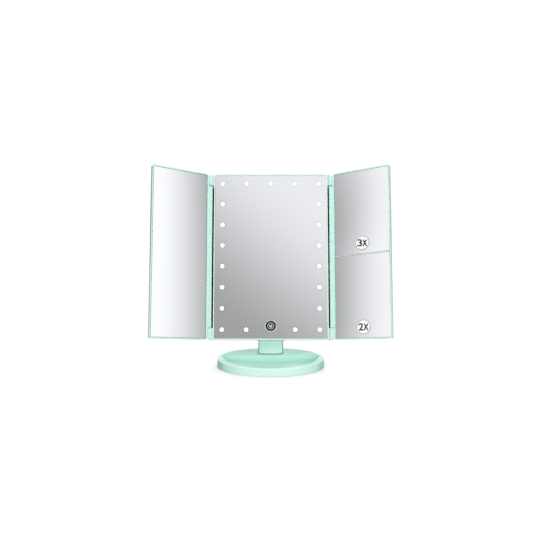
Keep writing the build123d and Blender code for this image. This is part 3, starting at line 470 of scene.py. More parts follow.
@dataclass(frozen=True)
class BaseMint(MintPlastic):
    """Mint plastic of the base, with painted light: highlight on the rim and rounded edge, shade in the tray.
    """

    name: str = "mint_plastic_base"
    specular: float = 0.35
    coat: float = 0.0
    half_width: float = 75.0
    half_depth: float = 54.0
    wall: float = 0.985
    edge: float = 0.972
    tray: float = 0.98
    tray_back: float = 14.2
    top_depth: float = -0.7
    edge_depth: float = -1.3
    crest_depth: float = -1.6
    foot_line: float = -10.2
    neck_centre: float = 63.2
    neck_radius: float = 45.2

    def detail(self, surface: Surface) -> None:
        """Paints light and shade by shares of the oval, ending at 1 on its outline, and by millimetres under
        its top.
        """
        across, back, up = surface.along(BASE_TOP)
        a, b = across / self.half_width, back / self.half_depth
        aside, reach = abs(a), a.hypot(b)
        wall = reach.above(self.wall, 0.004)
        top = up.above(self.top_depth, 0.2)
        rim = wall.most(top * back.below(self.tray_back - 0.5, 0.3))
        sunk = up.below(self.top_depth - 0.2, 0.3)
        tray = sunk * reach.below(self.tray, 0.004) * back.below(self.tray_back + 0.6, 0.2)
        edge = reach.above(self.edge, 0.006) * up.above(self.edge_depth, 0.3) * aside.above(0.35, 0.2)
        crest = back.between(self.tray_back - 1.0, self.tray_back + 4.0, 0.4)
        crest = crest * up.above(self.crest_depth, 0.4) * reach.below(0.95, 0.01)
        # Painted highlight on the front of the rim; painted shade in the tray and on the wall's flanks.
        surface.paint(rim * aside.below(0.75, 0.3), srgb(214, 250, 242))
        surface.paint(tray * 0.5, srgb(186, 226, 214))
        surface.paint(wall * aside.above(0.89, 0.06), srgb(166, 222, 206))
        # Painted highlight along the rounded top edge; painted shade on the tray's back edge.
        surface.paint(edge * 0.6, MINT_HIGHLIGHT)
        surface.paint(crest * 0.4, srgb(150, 196, 182))
        # Painted shade on the top in front of the neck's foot, and along the foot of the wall.
        from_neck = across.hypot(back - self.neck_centre)
        before_neck = abs(across).below(NECK_HALF_WIDTH, 0.5) * back.below(self.neck_centre)
        contact = from_neck.between(self.neck_radius - 0.5, self.neck_radius + 3.0, 0.8) * before_neck
        surface.paint(contact * top * 0.7, MINT_SHADE)
        surface.paint(wall * up.below(self.foot_line, 0.5) * 0.4, srgb(160, 196, 186))


@dataclass(frozen=True)
class WingMint(MintPlastic):
    """Mint plastic of a wing's shell: painted shade on its outer side, painted highlight on the barrel's
    inner side.
    """

    name: str = "mint_plastic_wing"
    axes: Axes = HEAD
    side: Side = Side.LEFT
    outer_shade: float = 0.75
    outer_edge: float = 86.5

    def detail(self, surface: Surface) -> None:
        """Paints shade on the outer side behind the rim, and a highlight on the barrel beside the channel."""
        across, _, out = surface.along(self.axes)
        outer = abs(across).above(self.outer_edge - 0.25, 0.1) * out.below(-0.9, 0.25)
        inner = (across * -self.side.value).above(0.9, 0.3)
        # Painted shade on the outer side; painted highlight on the barrel.
        surface.paint(outer * self.outer_shade, srgb(160, 208, 194))
        surface.paint(inner * 0.8, MINT_HIGHLIGHT)


@dataclass(frozen=True)
class SilveredGlass(Finish):
    """Back-silvered glass: bright face, border of painted shade, green edge and painted back."""

    name: str = "silvered_glass"
    color: Color = srgb(246, 248, 251)
    roughness: float = 0.02
    metallic: float = 1.0
    tone: float = 0.004
    relief: float = 0.0
    axes: Axes = HEAD
    low: Pair = (-HALF_GLASS, 0.0)
    high: Pair = (HALF_GLASS, GLASS_HEIGHT)
    border: float = 0.5
    border_shade: Color = srgb(132, 142, 140)
    face: float = 0.0
    thickness: float = 2.0

    def zones(self, surface: Surface) -> tuple[Value, Value]:
        """Tells the parts of the glass apart.

        Args:
            surface: the material's nodes.

        Returns:
            The distance from the glass's outline in millimetres, and the mask of its back.
        """
        across, up, out = surface.along(self.axes)
        margin = (across - self.low[0]).least(self.high[0] - across)
        margin = margin.least(up - self.low[1]).least(self.high[1] - up)
        return margin, out.below(self.face - self.thickness + 0.15)

    def detail(self, surface: Surface) -> None:
        """Paints shade on the border of the face, and colours the cut edge and the back."""
        margin, back = self.zones(surface)
        cut = margin.below(0.03, 0.02) * (1 - back)
        # Painted shade along the border, where the frame's rim meets the glass.
        surface.paint(margin.below(self.border, 0.12), self.border_shade)
        surface.paint(cut, srgb(96, 150, 128))
        surface.paint(back, srgb(92, 96, 100))
        plain = cut.most(back)
        surface.metallic = 1 - plain
        surface.roughness += plain * 0.4


@dataclass(frozen=True)
class DishedGlass(SilveredGlass):
    """Concave magnifying glass, whose face is shaded as one true sphere."""

    centre: Vector = field(default_factory=Vector)

    def detail(self, surface: Surface) -> None:
        """Turns the face's shading towards the sphere's centre, given in metres."""
        super().detail(surface)
        margin, back = self.zones(surface)
        towards = surface.vector("SUBTRACT", tuple(self.centre), surface.place()).outputs[0]
        inward = surface.vector("NORMALIZE", towards).outputs[0]
        spaces = {"vector_type": "NORMAL", "convert_from": "OBJECT", "convert_to": "WORLD"}
        turned_out = surface.node("VectorTransform", {0: inward}, **spaces).outputs[0]
        own = surface.node("NewGeometry").outputs["Normal"]
        face = margin.above(0.05, 0.02) * (1 - back)
        surface.normal = surface.node("Mix", {0: face, 4: own, 5: turned_out}, data_type="VECTOR").outputs[1]


@dataclass(frozen=True)
class Lattice:
    """The square pattern that the lights stand on, in the head's axes."""

    column: float = 70.05
    first_row: float = 12.55
    row_pitch: float = 30.6

    def distance(self, graph: Graph) -> Value:
        """Measures from the lights.

        Args:
            graph: the material's nodes.

        Returns:
            The distance from the nearest light's middle, in millimetres.
        """
        across, up, _ = graph.along(HEAD)
        pitch = self.column / 2
        sideways = (across + 3.5 * pitch).modulo(pitch) - pitch / 2
        upwards = (up - self.first_row + 1.5 * self.row_pitch).modulo(self.row_pitch) - self.row_pitch / 2
        return sideways.hypot(upwards)


LIGHTS = Lattice()


@dataclass(frozen=True)
class LitGlass(SilveredGlass):
    """Main mirror: a darker rim round each light, and a border of painted shade on the left and at the foot
    alone.
    """

    name: str = "silvered_glass_lit"
    high: Pair = (HALF_GLASS + 2.0, GLASS_HEIGHT + 1.5)
    border: float = 0.3
    lit_side: float = 64.0
    lit_top: float = 220.0
    lit_foot: float = 19.0
    unlit_middle: float = 25.0
    rim: Pair = (3.2, 4.4)

    def detail(self, surface: Surface) -> None:
        """Darkens the rims along the sides, the top and the two halves of the foot."""
        super().detail(surface)
        across, up, _ = surface.along(self.axes)
        aside = abs(across)
        foot = up.below(self.lit_foot) * aside.above(self.unlit_middle)
        lit = aside.above(self.lit_side).most(up.above(self.lit_top)).most(foot)
        rim = LIGHTS.distance(surface).between(*self.rim, 0.3)
        surface.paint(rim * lit * 0.25, srgb(120, 124, 126))


@dataclass(frozen=True)
class LitWindow(Finish):
    """Milky plastic, lit from behind, greyer in its middle and at its rim."""

    name: str = "milky_window"
    color: Color = srgb(244, 247, 247)
    roughness: float = 0.3
    tone: float = 0.01
    glow_strength: float = 0.35
    middle: float = 1.3
    rim: float = 3.05

    def detail(self, surface: Surface) -> None:
        """Shades each window by the distance from its light."""
        distance = LIGHTS.distance(surface)
        middle = distance.below(self.middle, 0.7)
        rim = distance.above(self.rim, 0.12)
        surface.paint(middle * 0.5, srgb(206, 210, 210))
        surface.paint(rim * 0.6, srgb(170, 176, 176))
        surface.glow = surface.blend(middle.most(rim), (1.0, 1.0, 1.0), (0.45, 0.46, 0.46))


@dataclass(frozen=True)
class LedPackage(Finish):
    """White LED package with a yellow phosphor disc."""

    name: str = "led_package"
    color: Color = srgb(236, 238, 236)
    roughness: float = 0.35
    glow_strength: float = 0.6
    disc: float = 1.25
    ring: float = 1.4

    def detail(self, surface: Surface) -> None:
        """Draws the phosphor disc and its ring."""
        distance = LIGHTS.distance(surface)
        disc = distance.below(self.disc)
        surface.paint(disc, srgb(248, 214, 92))
        surface.paint(distance.between(self.disc, self.ring), srgb(160, 160, 158))
        surface.glow = surface.blend(disc, (0.0, 0.0, 0.0), (1.0, 0.9, 0.6))


@dataclass(frozen=True)
class TouchWindow(Finish):
    """Light touch disc whose sunk ring and power mark are filled black."""

    name: str = "touch_window"
    color: Color = srgb(200, 203, 202)
    roughness: float = 0.4
    tone: float = 0.01
    specular: float = 0.05
    middle: float = 17.95
    ring: Pair = (4.9, 7.35)
    circle: Pair = (2.5, 4.1)
    gap: float = 1.1
    stem: Pair = (0.1, 4.3)
    stem_half_width: float = 0.75
    rim: float = 8.3
    face: float = -0.5

    def detail(self, surface: Surface) -> None:
        """Fills what lies under the face, and shades the disc's rim."""
        across, up, out = surface.along(HEAD)
        aside, rise = abs(across), up - self.middle
        distance = across.hypot(rise)
        ring = distance.between(*self.ring, 0.06)
        circle = distance.between(*self.circle, 0.06) * (1 - aside.below(self.gap) * rise.above(0.0))
        stem = aside.below(self.stem_half_width) * rise.between(*self.stem)
        ink = ring.most(circle).most(stem) * out.above(self.face)
        surface.paint(distance.above(self.rim, 0.3) * 0.4, srgb(160, 166, 166))
        surface.paint(ink, srgb(3, 4, 4))
        surface.roughness += ink * 0.3


@dataclass(frozen=True)
class Label(Finish):
    """Glossy white round label with a printed grey outline."""

    name: str = "label_film"
    color: Color = srgb(250, 250, 250)
    roughness: float = 0.3
    tone: float = 0.005
    axes: Axes = HEAD
    middle: Pair = (0.0, 0.0)
    radius: float = 10.2
    line: float = 0.9

    def detail(self, surface: Surface) -> None:
        """Prints the outline."""
        across, up, _ = surface.along(self.axes)
        distance = (across - self.middle[0]).hypot(up - self.middle[1])
        surface.paint(distance.between(self.radius - self.line, self.radius, 0.12), srgb(158, 161, 162))


@dataclass(frozen=True)
class Steel(Finish):
    """Zinc-plated steel, finely brushed."""

    name: str = "zinc_steel"
    color: Color = srgb(196, 199, 203)
    roughness: float = 0.34
    metallic: float = 1.0
    tone: float = 0.05
    stretch: Triple = (1, 12, 1)

    def detail(self, surface: Surface) -> None:
        """Draws brush lines by stretching noise along one direction."""
        scaled = surface.vector("MULTIPLY", surface.place(), self.stretch).outputs[0]
        lines = surface.node("TexNoise", {"Vector": scaled, "Scale": 900.0, "Detail": 4.0})
        brushed = Value(surface, lines.outputs[0])
        surface.roughness += brushed * 0.16
        surface.height += brushed * 0.004


@dataclass(frozen=True)
class CircuitBoard(Finish):
    """Solder mask over copper tracks, with tinned pads."""

    name: str = "green_board"
    color: Color = srgb(22, 98, 54)
    roughness: float = 0.32
    tone: float = 0.06
    coat: float = 0.3
    track: Color = srgb(44, 138, 78)

    def detail(self, surface: Surface) -> None:
        """Draws tracks and pads."""
        tracks = surface.cells(3.4, "CHEBYCHEV").between(0.30, 0.38, 0.02)
        pads = surface.cells(4.6).below(0.13, 0.01)
        surface.paint(tracks, self.track)
        surface.paint(pads, srgb(206, 206, 196))
        surface.metallic = pads * 0.9
        surface.height += tracks * 0.02 + pads * 0.03


@dataclass(frozen=True)
class CellSleeve(Finish):
    """Printed sleeve of a battery cell with bare steel ends."""

    name: str = "cell_sleeve"
    color: Color = srgb(58, 82, 96)
    roughness: float = 0.3
    tone: float = 0.02
    coat: float = 0.3
    start: float = 0.0
    length: float = 49.2
    plus_up: bool = True
    band: Pair = (13.0, 2.0)
    end: float = 0.6

    def detail(self, surface: Surface) -> None:
        """Draws the band at the positive end with a pale line beside it, and bares both ends."""
        up = surface.along(HEAD)[1]
        rise = up - self.start if self.plus_up else self.start + self.length - up
        foot, top = (self.length - depth for depth in self.band)
        bare = rise.below(self.end).most(rise.above(self.length - self.end))
        surface.paint(rise.between(foot, top), srgb(214, 168, 74))
        surface.paint(rise.between(foot - 1.0, foot - 0.2), srgb(230, 232, 232))
        surface.paint(bare, srgb(205, 206, 208))
        surface.metallic = bare
        surface.height -= bare * 0.05


@dataclass(frozen=True)
class OpenFoam(Finish):
    """Dark foam with fine open pores."""

    name: str = "foam"
    color: Color = srgb(66, 68, 70)
    roughness: float = 0.95
    tone: float = 0.12

    def detail(self, surface: Surface) -> None:
        """Sinks and darkens the pores."""
        pores = surface.cells(0.9).below(0.32, 0.12)
        surface.paint(pores * 0.7, srgb(28, 29, 30))
        surface.height -= pores * 0.18


@dataclass(frozen=True)
class PadRubber(Finish):
    """Matte grey rubber with fine ribs across it."""

    name: str = "pad_rubber"
    color: Color = srgb(120, 128, 125)
    roughness: float = 0.85
    tone: float = 0.06
    rib_pitch: float = 2.4

    def detail(self, surface: Surface) -> None:
        """Raises the ribs."""
        ribs = (surface.along(HEAD)[0] * (2 * math.pi / self.rib_pitch)).sine()
        surface.height += ribs * 0.08
        surface.paint(ribs.above(0.2, 0.5) * 0.2, srgb(148, 156, 152))


@dataclass(frozen=True)
class Ribbon(Finish):
    """Flat film cable with its conductors showing through."""

    name: str = "ribbon_film"
    color: Color = srgb(226, 220, 204)
    roughness: float = 0.35
    pitch: float = 1.0
    wire: float = 0.28

    def detail(self, surface: Surface) -> None:
        """Draws the conductors."""
        across = (surface.along(HEAD)[0] + 50).modulo(self.pitch) - self.pitch / 2
        wires = abs(across).below(self.wire)
        surface.paint(wires * 0.8, srgb(184, 128, 84))
        surface.height += wires * 0.05


def dress(node: str, finish: Finish) -> None:
    """Gives a carried-over CAD node its finish.

    Args:
        node: the node's name.
        finish: its finish.
    """
    material = finish.build()
    material.name = f"{finish.name}_{node}"
    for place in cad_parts[node].material_slots:
        place.material = material
    LOG.info("dressed %s in %s", node, finish.name)


# ---- small pieces


def mesh_from(name: str, shape: Shape) -> bpy.types.Mesh:
    """Turns a bmesh into a mesh.

    Args:
        name: the mesh's name.
        shape: its faces; the bmesh is freed.

    Returns:
        The new mesh.
    """
    mesh = bpy.data.meshes.new(name)
    shape.to_mesh(mesh)
    shape.free()
    return mesh


def linked(name: str, data: bpy.types.ID) -> bpy.types.Object:
    """Puts a new object into the scene.

    Args:
        name: the object's name.
        data: the mesh, curve, lamp or camera that it shows.

    Returns:
        The new object.
    """
    made = bpy.data.objects.new(name, data)
    bpy.context.scene.collection.objects.link(made)
    return made


def add_piece(
    name: str, shape: Shape, finish: Finish, body: str, stands_for: tuple[str, ...] = ()
) -> bpy.types.Object:
    """Turns a finished bmesh into a piece that moves with a body.

    Args:
        name: the piece's name.
        shape: its shape, in the row frame; it is freed.
        finish: its finish.
        body: the body that it rides on.
        stands_for: CAD nodes that it replaces.

    Returns:
        The new object.
    """
    bmesh.ops.recalc_face_normals(shape, faces=shape.faces)
    mesh = mesh_from(name, shape)
    mesh.materials.append(finish.build())
    piece = linked(name, mesh)
    if stands_for:
        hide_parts(*stands_for)
    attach(piece, body)
    LOG.info("built %s, %d faces, on %s", name, len(mesh.polygons), body)
    return piece


def shade_smooth(shape: Shape, angle: float = 35.0) -> None:
    """Smooths the faces and keeps sharp edges.

    Args:
        shape: the shape that is smoothed.
        angle: least angle of a sharp edge, in degrees.
    """
    for face in shape.faces:
        face.smooth = True
    for edge in shape.edges:
        if len(edge.link_faces) == 2 and edge.calc_face_angle(0.0) > math.radians(angle):
            edge.smooth = False


def placed(shape: Shape, matrix: Matrix) -> Shape:
    """The same shape, moved to its place."""
    bmesh.ops.transform(shape, matrix=matrix, verts=shape.verts)
    return shape


def joined(*shapes: Shape) -> Shape:
    """Joins several bmeshes.

    Args:
        *shapes: the bmeshes; all but the first are freed.

    Returns:
        The first, with the others' faces added.
    """
    whole, *others = shapes
    for shape in others:
        mesh = mesh_from("joined", shape)
        whole.from_mesh(mesh)
        bpy.data.meshes.remove(mesh)
    return whole


def turned(outline: list[Pair], steps: int, closed: bool = False) -> Shape:
    """Turns an outline about the z axis.

    Args:
        outline: its points, each a radius and a height in millimetres.
        steps: number of sides of the turned shape.
        closed: whether the last point joins the first.

    Returns:
        The turned shape, in metres.
    """
    shape = bmesh.new()
    points = [shape.verts.new((radius * MM, 0, height * MM)) for radius, height in outline]
    following = points[1:] + points[:1] if closed else points[1:]
    edges = [shape.edges.new(pair) for pair in zip(points, following)]
    whole_turn = {"cent": (0, 0, 0), "axis": (0, 0, 1), "angle": 2 * math.pi, "use_merge": True}
    bmesh.ops.spin(shape, geom=points + edges, steps=steps, **whole_turn)
    bmesh.ops.remove_doubles(shape, verts=shape.verts, dist=1e-6)
    return shape


def block(size: Triple, bevel: float, segments: int, matrix: Matrix) -> Shape:
    """Box with rounded edges.

    Args:
        size: its three sides, in millimetres.
        bevel: width of the rounding, in millimetres.
        segments: number of flats in the rounding.
        matrix: place of its middle.

    Returns:
        The box, in metres.
    """
    shape = bmesh.new()
    bmesh.ops.create_cube(shape, size=1.0)
    bmesh.ops.scale(shape, vec=Vector(size) * MM, verts=shape.verts)
    rounding = {"affect": "EDGES", "profile": 0.5, "material": -1}
    bmesh.ops.bevel(shape, geom=shape.edges, offset=bevel * MM, segments=segments, **rounding)
    return placed(shape, matrix)


@dataclass(frozen=True)
class CrossScrew:
    """Pan-head screw with a cross recess and ridged shank; its head's face is at z 0, shank upwards."""

    head_radius: float
    head_height: float
    shank_radius: float
    length: float
    thread_pitch: float = 1.1
    recess: float = 0.62
    groove: float = 0.78
    tip: float = 0.6

    def outline(self) -> list[Pair]:
        """Half outline of the screw without its recess, as radii and heights."""
        head, height, shank = self.head_radius, self.head_height, self.shank_radius
        found = [(0.0, 0.0), (head * 0.82, 0.0), (head, height * 0.35), (head, height), (shank, height)]
        rise = height + 0.4
        while rise + self.thread_pitch < self.length - self.tip:
            found += [(shank * self.groove, rise), (shank, rise + self.thread_pitch / 2)]
            rise += self.thread_pitch
        end = [(shank * self.groove, self.length - self.tip), (shank * 0.35, self.length), (0.0, self.length)]
        return found + end

    def shape(self) -> Shape:
        """Turns the outline and cuts the cross recess out of the head with a boolean.

        Returns:
            The screw in metres, standing on its head's face.
        """
        blank = turned(self.outline(), 24)
        bmesh.ops.recalc_face_normals(blank, faces=blank.faces)
        cutter = bmesh.new()
        depth = self.head_height * self.recess
        sides = (self.head_radius * 1.25 * MM, self.head_radius * 0.3 * MM, 2 * depth * MM, 1)
        for turn in (0.0, math.pi / 2):
            bar = Matrix.Rotation(turn, 4, "Z") @ Matrix.Diagonal(sides)
            bmesh.ops.create_cube(cutter, size=1.0, matrix=bar)
        screw = linked("screw_blank", mesh_from("screw_blank", blank))
        tool = linked("screw_cross", mesh_from("screw_cross", cutter))
        cut = screw.modifiers.new("cross", "BOOLEAN")
        cut.object = tool
        cut.operation = "DIFFERENCE"
        cut.use_self = True
        bpy.context.view_layer.update()
        result = bmesh.new()
        result.from_object(screw, bpy.context.evaluated_depsgraph_get())
        for scratch in (screw, tool):
            mesh = scratch.data
            bpy.data.objects.remove(scratch)
            bpy.data.meshes.remove(mesh)
        return result

    def add_set(self, stem: str, body: str, places: list[Matrix]) -> None:
        """Adds the same screw at several places, as one piece for the plain screws of the CAD.

        Args:
            stem: what the screws hold, as the CAD node's name has it.
            body: the body that they ride on.
            places: their places.
        """
        single = self.shape()
        whole = joined(*(placed(single.copy(), matrix) for matrix in places))
        single.free()
        shade_smooth(whole, 30.0)
        add_piece(f"{stem}_screw_set", whole, Steel(), body, (f"{stem}_screws",))


CAP_HEIGHT = 0.72


@dataclass(frozen=True)
class Figure:
    """Size of one raised figure, in millimetres: width, height, and how far its strokes are widened."""

    width: float
    height: float
    weight: float


def lettering(text: str, size: Figure, thickness: float, matrix: Matrix) -> Shape:
    """Raised lettering.

    Args:
        text: what it says.
        size: its size.
        thickness: how far it stands up, in millimetres.
        matrix: its place; it reads along x, and stands along z.

    Returns:
        The letters as one mesh.
    """
    curve = bpy.data.curves.new("lettering", "FONT")
    curve.body = text
    curve.align_x = "CENTER"
    curve.align_y = "CENTER"
    curve.size = size.height / CAP_HEIGHT * MM
    curve.extrude = thickness / 2 * MM
    curve.offset = size.weight * MM
    curve.resolution_u = 6
    holder = linked("lettering", curve)
    bpy.context.view_layer.update()
    mesh = bpy.data.meshes.new_from_object(holder.evaluated_get(bpy.context.evaluated_depsgraph_get()))
    bpy.data.objects.remove(holder)
    shape = bmesh.new()
    shape.from_mesh(mesh)
    bpy.data.meshes.remove(mesh)
    bmesh.ops.remove_doubles(shape, verts=shape.verts, dist=1e-7)
    low = Vector([min(vert.co[i] for vert in shape.verts) for i in range(3)])
    high = Vector([max(vert.co[i] for vert in shape.verts) for i in range(3)])
    bmesh.ops.translate(shape, vec=-(low + high) / 2, verts=shape.verts)
    fit = Vector((size.width * MM / (high.x - low.x), size.height * MM / (high.y - low.y), 1))
    bmesh.ops.scale(shape, vec=fit, verts=shape.verts)
    bmesh.ops.translate(shape, vec=(0, 0, thickness / 2 * MM), verts=shape.verts)
    return placed(shape, matrix)


# ---- sub-assemblies


@dataclass
class TrayBase:
    """Oval base with its tray, plate, counterweight and pad."""

    screw: CrossScrew = CrossScrew(2.4, 1.0, 1.0, 8.0)
    plate_bosses: tuple[Pair, ...] = ((-48.0, 25.0), (48.0, 25.0), (0.0, 46.0))
    plate_foot: float = 1.0

    def build(self) -> None:
        """Makes the plate's screws."""
        places = [Matrix.Translation(Vector((x, y, self.plate_foot)) * MM) for x, y in self.plate_bosses]
        self.screw.add_set("base_plate", "base", places)

    def dress(self) -> None:
        """Finishes the base's own nodes."""
        dress("base_shell", BaseMint())
        dress("base_pad", PadRubber())
        dress("base_plate", Finish("black_plastic", srgb(38, 40, 42), 0.5))
        dress("counterweight", Steel(stretch=(12, 1, 1)))


@dataclass
class TiltNeck:
    """Neck post with its screws, pin and washers."""

    screw: CrossScrew = CrossScrew(3.0, 1.8, 1.5, 15.8, 1.4)
    spacing: float = 20.0
    foot_y: float = 30.0
    base_wall: float = 2.0

    def build(self) -> None:
        """Makes the screws that hold the neck, head down under the base's top."""
        depth = -(self.base_wall + self.screw.head_height)
        places = [BASE_TOP.matrix(side.value * self.spacing / 2, self.foot_y, depth) for side in Side]
        self.screw.add_set("neck", "base", places)

    def dress(self) -> None:
        """Finishes the neck's own nodes."""
        dress("neck", NeckMint())
        dress("tilt_pin", Steel())
        dress("friction_washers", Finish("washer_nylon", srgb(232, 232, 226), 0.4))


@dataclass
class LitHead:
    """Front frame with the main mirror, its lights and the touch button."""

    flange: float = -5.0
    # Where the near-black sheets of painted shade lie in the channels, in millimetres.
    sheet_far: float = 86.5
    sheet_lip: float = -0.45
    sheet_thickness: float = 0.2

    def shade_sheet(self, side: Side) -> Shape:
        """Dark sheet of painted shade in the channel beside one hinge barrel, with an L-shaped section.

        Args:
            side: the side that it is on.

        Returns:
            The sheet, drawn out along the channel.
        """
        wall, far, lip, floor = HALF_WALL, self.sheet_far, self.sheet_lip, self.flange
        inner_wall, inner_floor = wall + self.sheet_thickness, floor + self.sheet_thickness
        section = [(wall, lip), (wall, floor), (far, floor), (far, inner_floor)]
        section += [(inner_wall, inner_floor), (inner_wall, lip)]
        foot, top = CHANNEL
        shape = bmesh.new()
        corners = [shape.verts.new(HEAD.point(side.value * a, foot, b)) for a, b in section]
        grown = bmesh.ops.extrude_face_region(shape, geom=[shape.faces.new(corners)])
        far_end = [part for part in grown["geom"] if isinstance(part, bmesh.types.BMVert)]
        bmesh.ops.translate(shape, vec=HEAD.y * (top - foot) * MM, verts=far_end)
        return shape

    def build(self) -> None:
        """Makes the near-black sheets that stand in for the shade in the two channels."""
        # A near-black matte sheet put where the channel has only shade: painted shade.
        shade_finish = Finish("channel_painted_shade", srgb(4, 10, 8), 0.95, specular=0.05, relief=0.02)
        shade_sheets = joined(*(self.shade_sheet(side) for side in Side))
        add_piece("channel_shade_sheets", shade_sheets, shade_finish, "head")

    def dress(self) -> None:
        """Finishes the nodes at the head's front."""
        dress("front_frame", FrameMint())
        dress("main_mirror", LitGlass())
        dress("light_diffuser", LitWindow())
        dress("touch_button", TouchWindow())
        dress("leds", LedPackage())
        dress("led_board", CircuitBoard("white_board", srgb(226, 230, 226), track=srgb(206, 212, 208)))
        dress("touch_board", CircuitBoard())
        dress("touch_ribbon", Ribbon())
        dress("wing_hinge_pins", Steel())


@dataclass
class RearHousing:
    """Rear housing with its screws, batteries, boards, switch and socket."""

    screw: CrossScrew = CrossScrew(2.0, 1.1, 0.9, 7.0, 0.9)
    screw_x: float = 78.2
    screw_rows: tuple[float, ...] = (24.0, 119.25, 214.5)
    back: float = -11.0
    hump_back: float = -24.6
    switch_x: float = -14.0
    switch_v: float = 114.0
    mark_offset: float = 8.2
    mark_thickness: float = 0.15
    bar: Pair = (0.5, 2.6)
    ring: Pair = (0.95, 1.4)
    cells: int = 4
    cell_starts: Pair = (39.3, 38.0)

    def build(self) -> None:
        """Makes the housing's screws and the switch's marks: a bar for on, a ring for off."""
        spots = [(side.value * self.screw_x, v) for side in Side for v in self.screw_rows]
        self.screw.add_set("housing", "head", [HEAD.matrix(a, v, self.back) for a, v in spots])
        back = Axes(HEAD.origin, -HEAD.x, HEAD.y, -HEAD.z)
        thick, depth = self.mark_thickness, -self.hump_back
        on_place = back.matrix(-self.switch_x + self.mark_offset, self.switch_v, depth + thick / 2)
        off_place = back.matrix(-self.switch_x - self.mark_offset, self.switch_v, depth)
        on_mark = block((*self.bar, thick), 0.08, 2, on_place)
        inner, outer = self.ring
        section = [(inner, 0), (inner, thick), (outer, thick), (outer, 0)]
        off_mark = placed(turned(section, 32, closed=True), off_place)
        deep_mint = MintPlastic(color=MINT_SHADE)
        add_piece("switch_marks", joined(on_mark, off_mark), deep_mint, "head")

    def dress(self) -> None:
        """Finishes the housing's own nodes and what it holds; every other cell stands upside down."""
        dress("rear_housing", SeamedMint())
        dress("battery_cover", CoverMint())
        for number in range(self.cells):
            turned_over = number % 2
            sleeve = CellSleeve(start=self.cell_starts[turned_over], plus_up=not turned_over)
            dress(f"battery_cell_{number + 1}", sleeve)
        dress("battery_contacts", Steel("nickel_plate", srgb(214, 212, 204), 0.2))
        dress("inlet_socket", Steel("socket_metal", srgb(206, 208, 210), 0.22))
        dress("control_board", CircuitBoard())
        dress("control_chips", Finish("chip_black", srgb(34, 35, 38), 0.45))
        dress("switch_body", Finish("switch_black", srgb(30, 31, 33), 0.5))
        dress("switch_knob", Finish("knob_black", srgb(36, 38, 40), 0.4))
        for leads in ("battery_leads", "led_leads"):
            dress(leads, Finish("lead_red", srgb(190, 40, 36), 0.4))


@dataclass
class Wing:
    """One folding wing: the place of its glass, and the foam behind it."""

    side: Side
    angle: float = math.radians(26.5)
    hinge_across: float = 87.0
    hinge_out: float = 0.5
    glass_in: float = 5.8
    glass_out: float = 84.9
    glass_thickness: float = 2.0
    foot: float = -0.4
    top: float = 238.9
    face: float = -0.6
    floor: float = -6.7
    foam_inset: float = 6.0
    border: float = 0.5

    @property
    def body(self) -> str:
        """Name of the wing's body."""
        return f"{self.side.name.lower()}_wing"

    @property
    def axes(self) -> Axes:
        """Axes of the wing at rest: origin on its hinge axis, x to the right along its glass, z out of it."""
        turn = self.angle * self.side.value
        x = HEAD.x * math.cos(turn) + HEAD.z * math.sin(turn)
        z = HEAD.z * math.cos(turn) - HEAD.x * math.sin(turn)
        return Axes(HEAD.point(self.hinge_across * self.side.value, 0, self.hinge_out), x, HEAD.y, z)

    def span(self, low: float, high: float) -> Pair:
        """Two distances from the hinge as lowest and highest along the wing's x."""
        a, b = self.side.value * low, self.side.value * high
        return min(a, b), max(a, b)

    def foam(self, name: str, foot: float, top: float, depth: float) -> None:
        """Makes the foam pad behind a mirror.

        Args:
            name: the CAD node that it stands for.
            foot: lowest height of the mirror.
            top: highest height of the mirror.
            depth: from the mirror's front to its back.
        """
        inset, front = self.foam_inset, self.face - depth
        low, high = self.span(self.glass_in + inset, self.glass_out - inset)
        place = self.axes.matrix((low + high) / 2, (foot + top) / 2, (front + self.floor) / 2)
        shape = block((high - low, top - foot - 2 * inset, front - self.floor), 0.6, 3, place)
        shade_smooth(shape)
        pad = add_piece(f"{name}_pad", shape, OpenFoam(), self.body, (name,))

    def glass(self, foot: float, top: float, depth: float) -> dict:
        """Place of one mirror of the wing, as its finish needs it; depth is from its front to its back."""
        low, high = self.span(self.glass_in, self.glass_out)
        return {
            "axes": self.axes,
            "low": (low, foot),
            "high": (high, top),
            "face": self.face,
            "thickness": depth,
            "border": self.border,
            # Painted shade along the border of the wing's mirror.
            "border_shade": srgb(104, 114, 112),
        }


@dataclass
class PlainWing(Wing):
    """The wing with one flat mirror."""

    def build(self) -> None:
        """Makes the pad behind the mirror."""
        self.foam("left_foam", self.foot, self.top, self.glass_thickness)

    def dress(self) -> None:
        """Finishes the shell and the mirror."""
        dress("left_wing_shell", WingMint(axes=self.axes))
        dress("left_mirror", SilveredGlass(**self.glass(self.foot, self.top, self.glass_thickness)))


@dataclass(frozen=True)
class Magnifier:
    """One concave mirror of the magnifying wing, with its label, whose figures step down by a slope."""

    name: str
    power: str
    foot: float
    top: float
    radius: float
    slope: float

    def dish(self, width: float) -> float:
        """Depth of the dish for a mirror of a width."""
        half = math.hypot(width, self.top - self.foot) / 2
        return self.radius - math.sqrt(self.radius**2 - half**2)


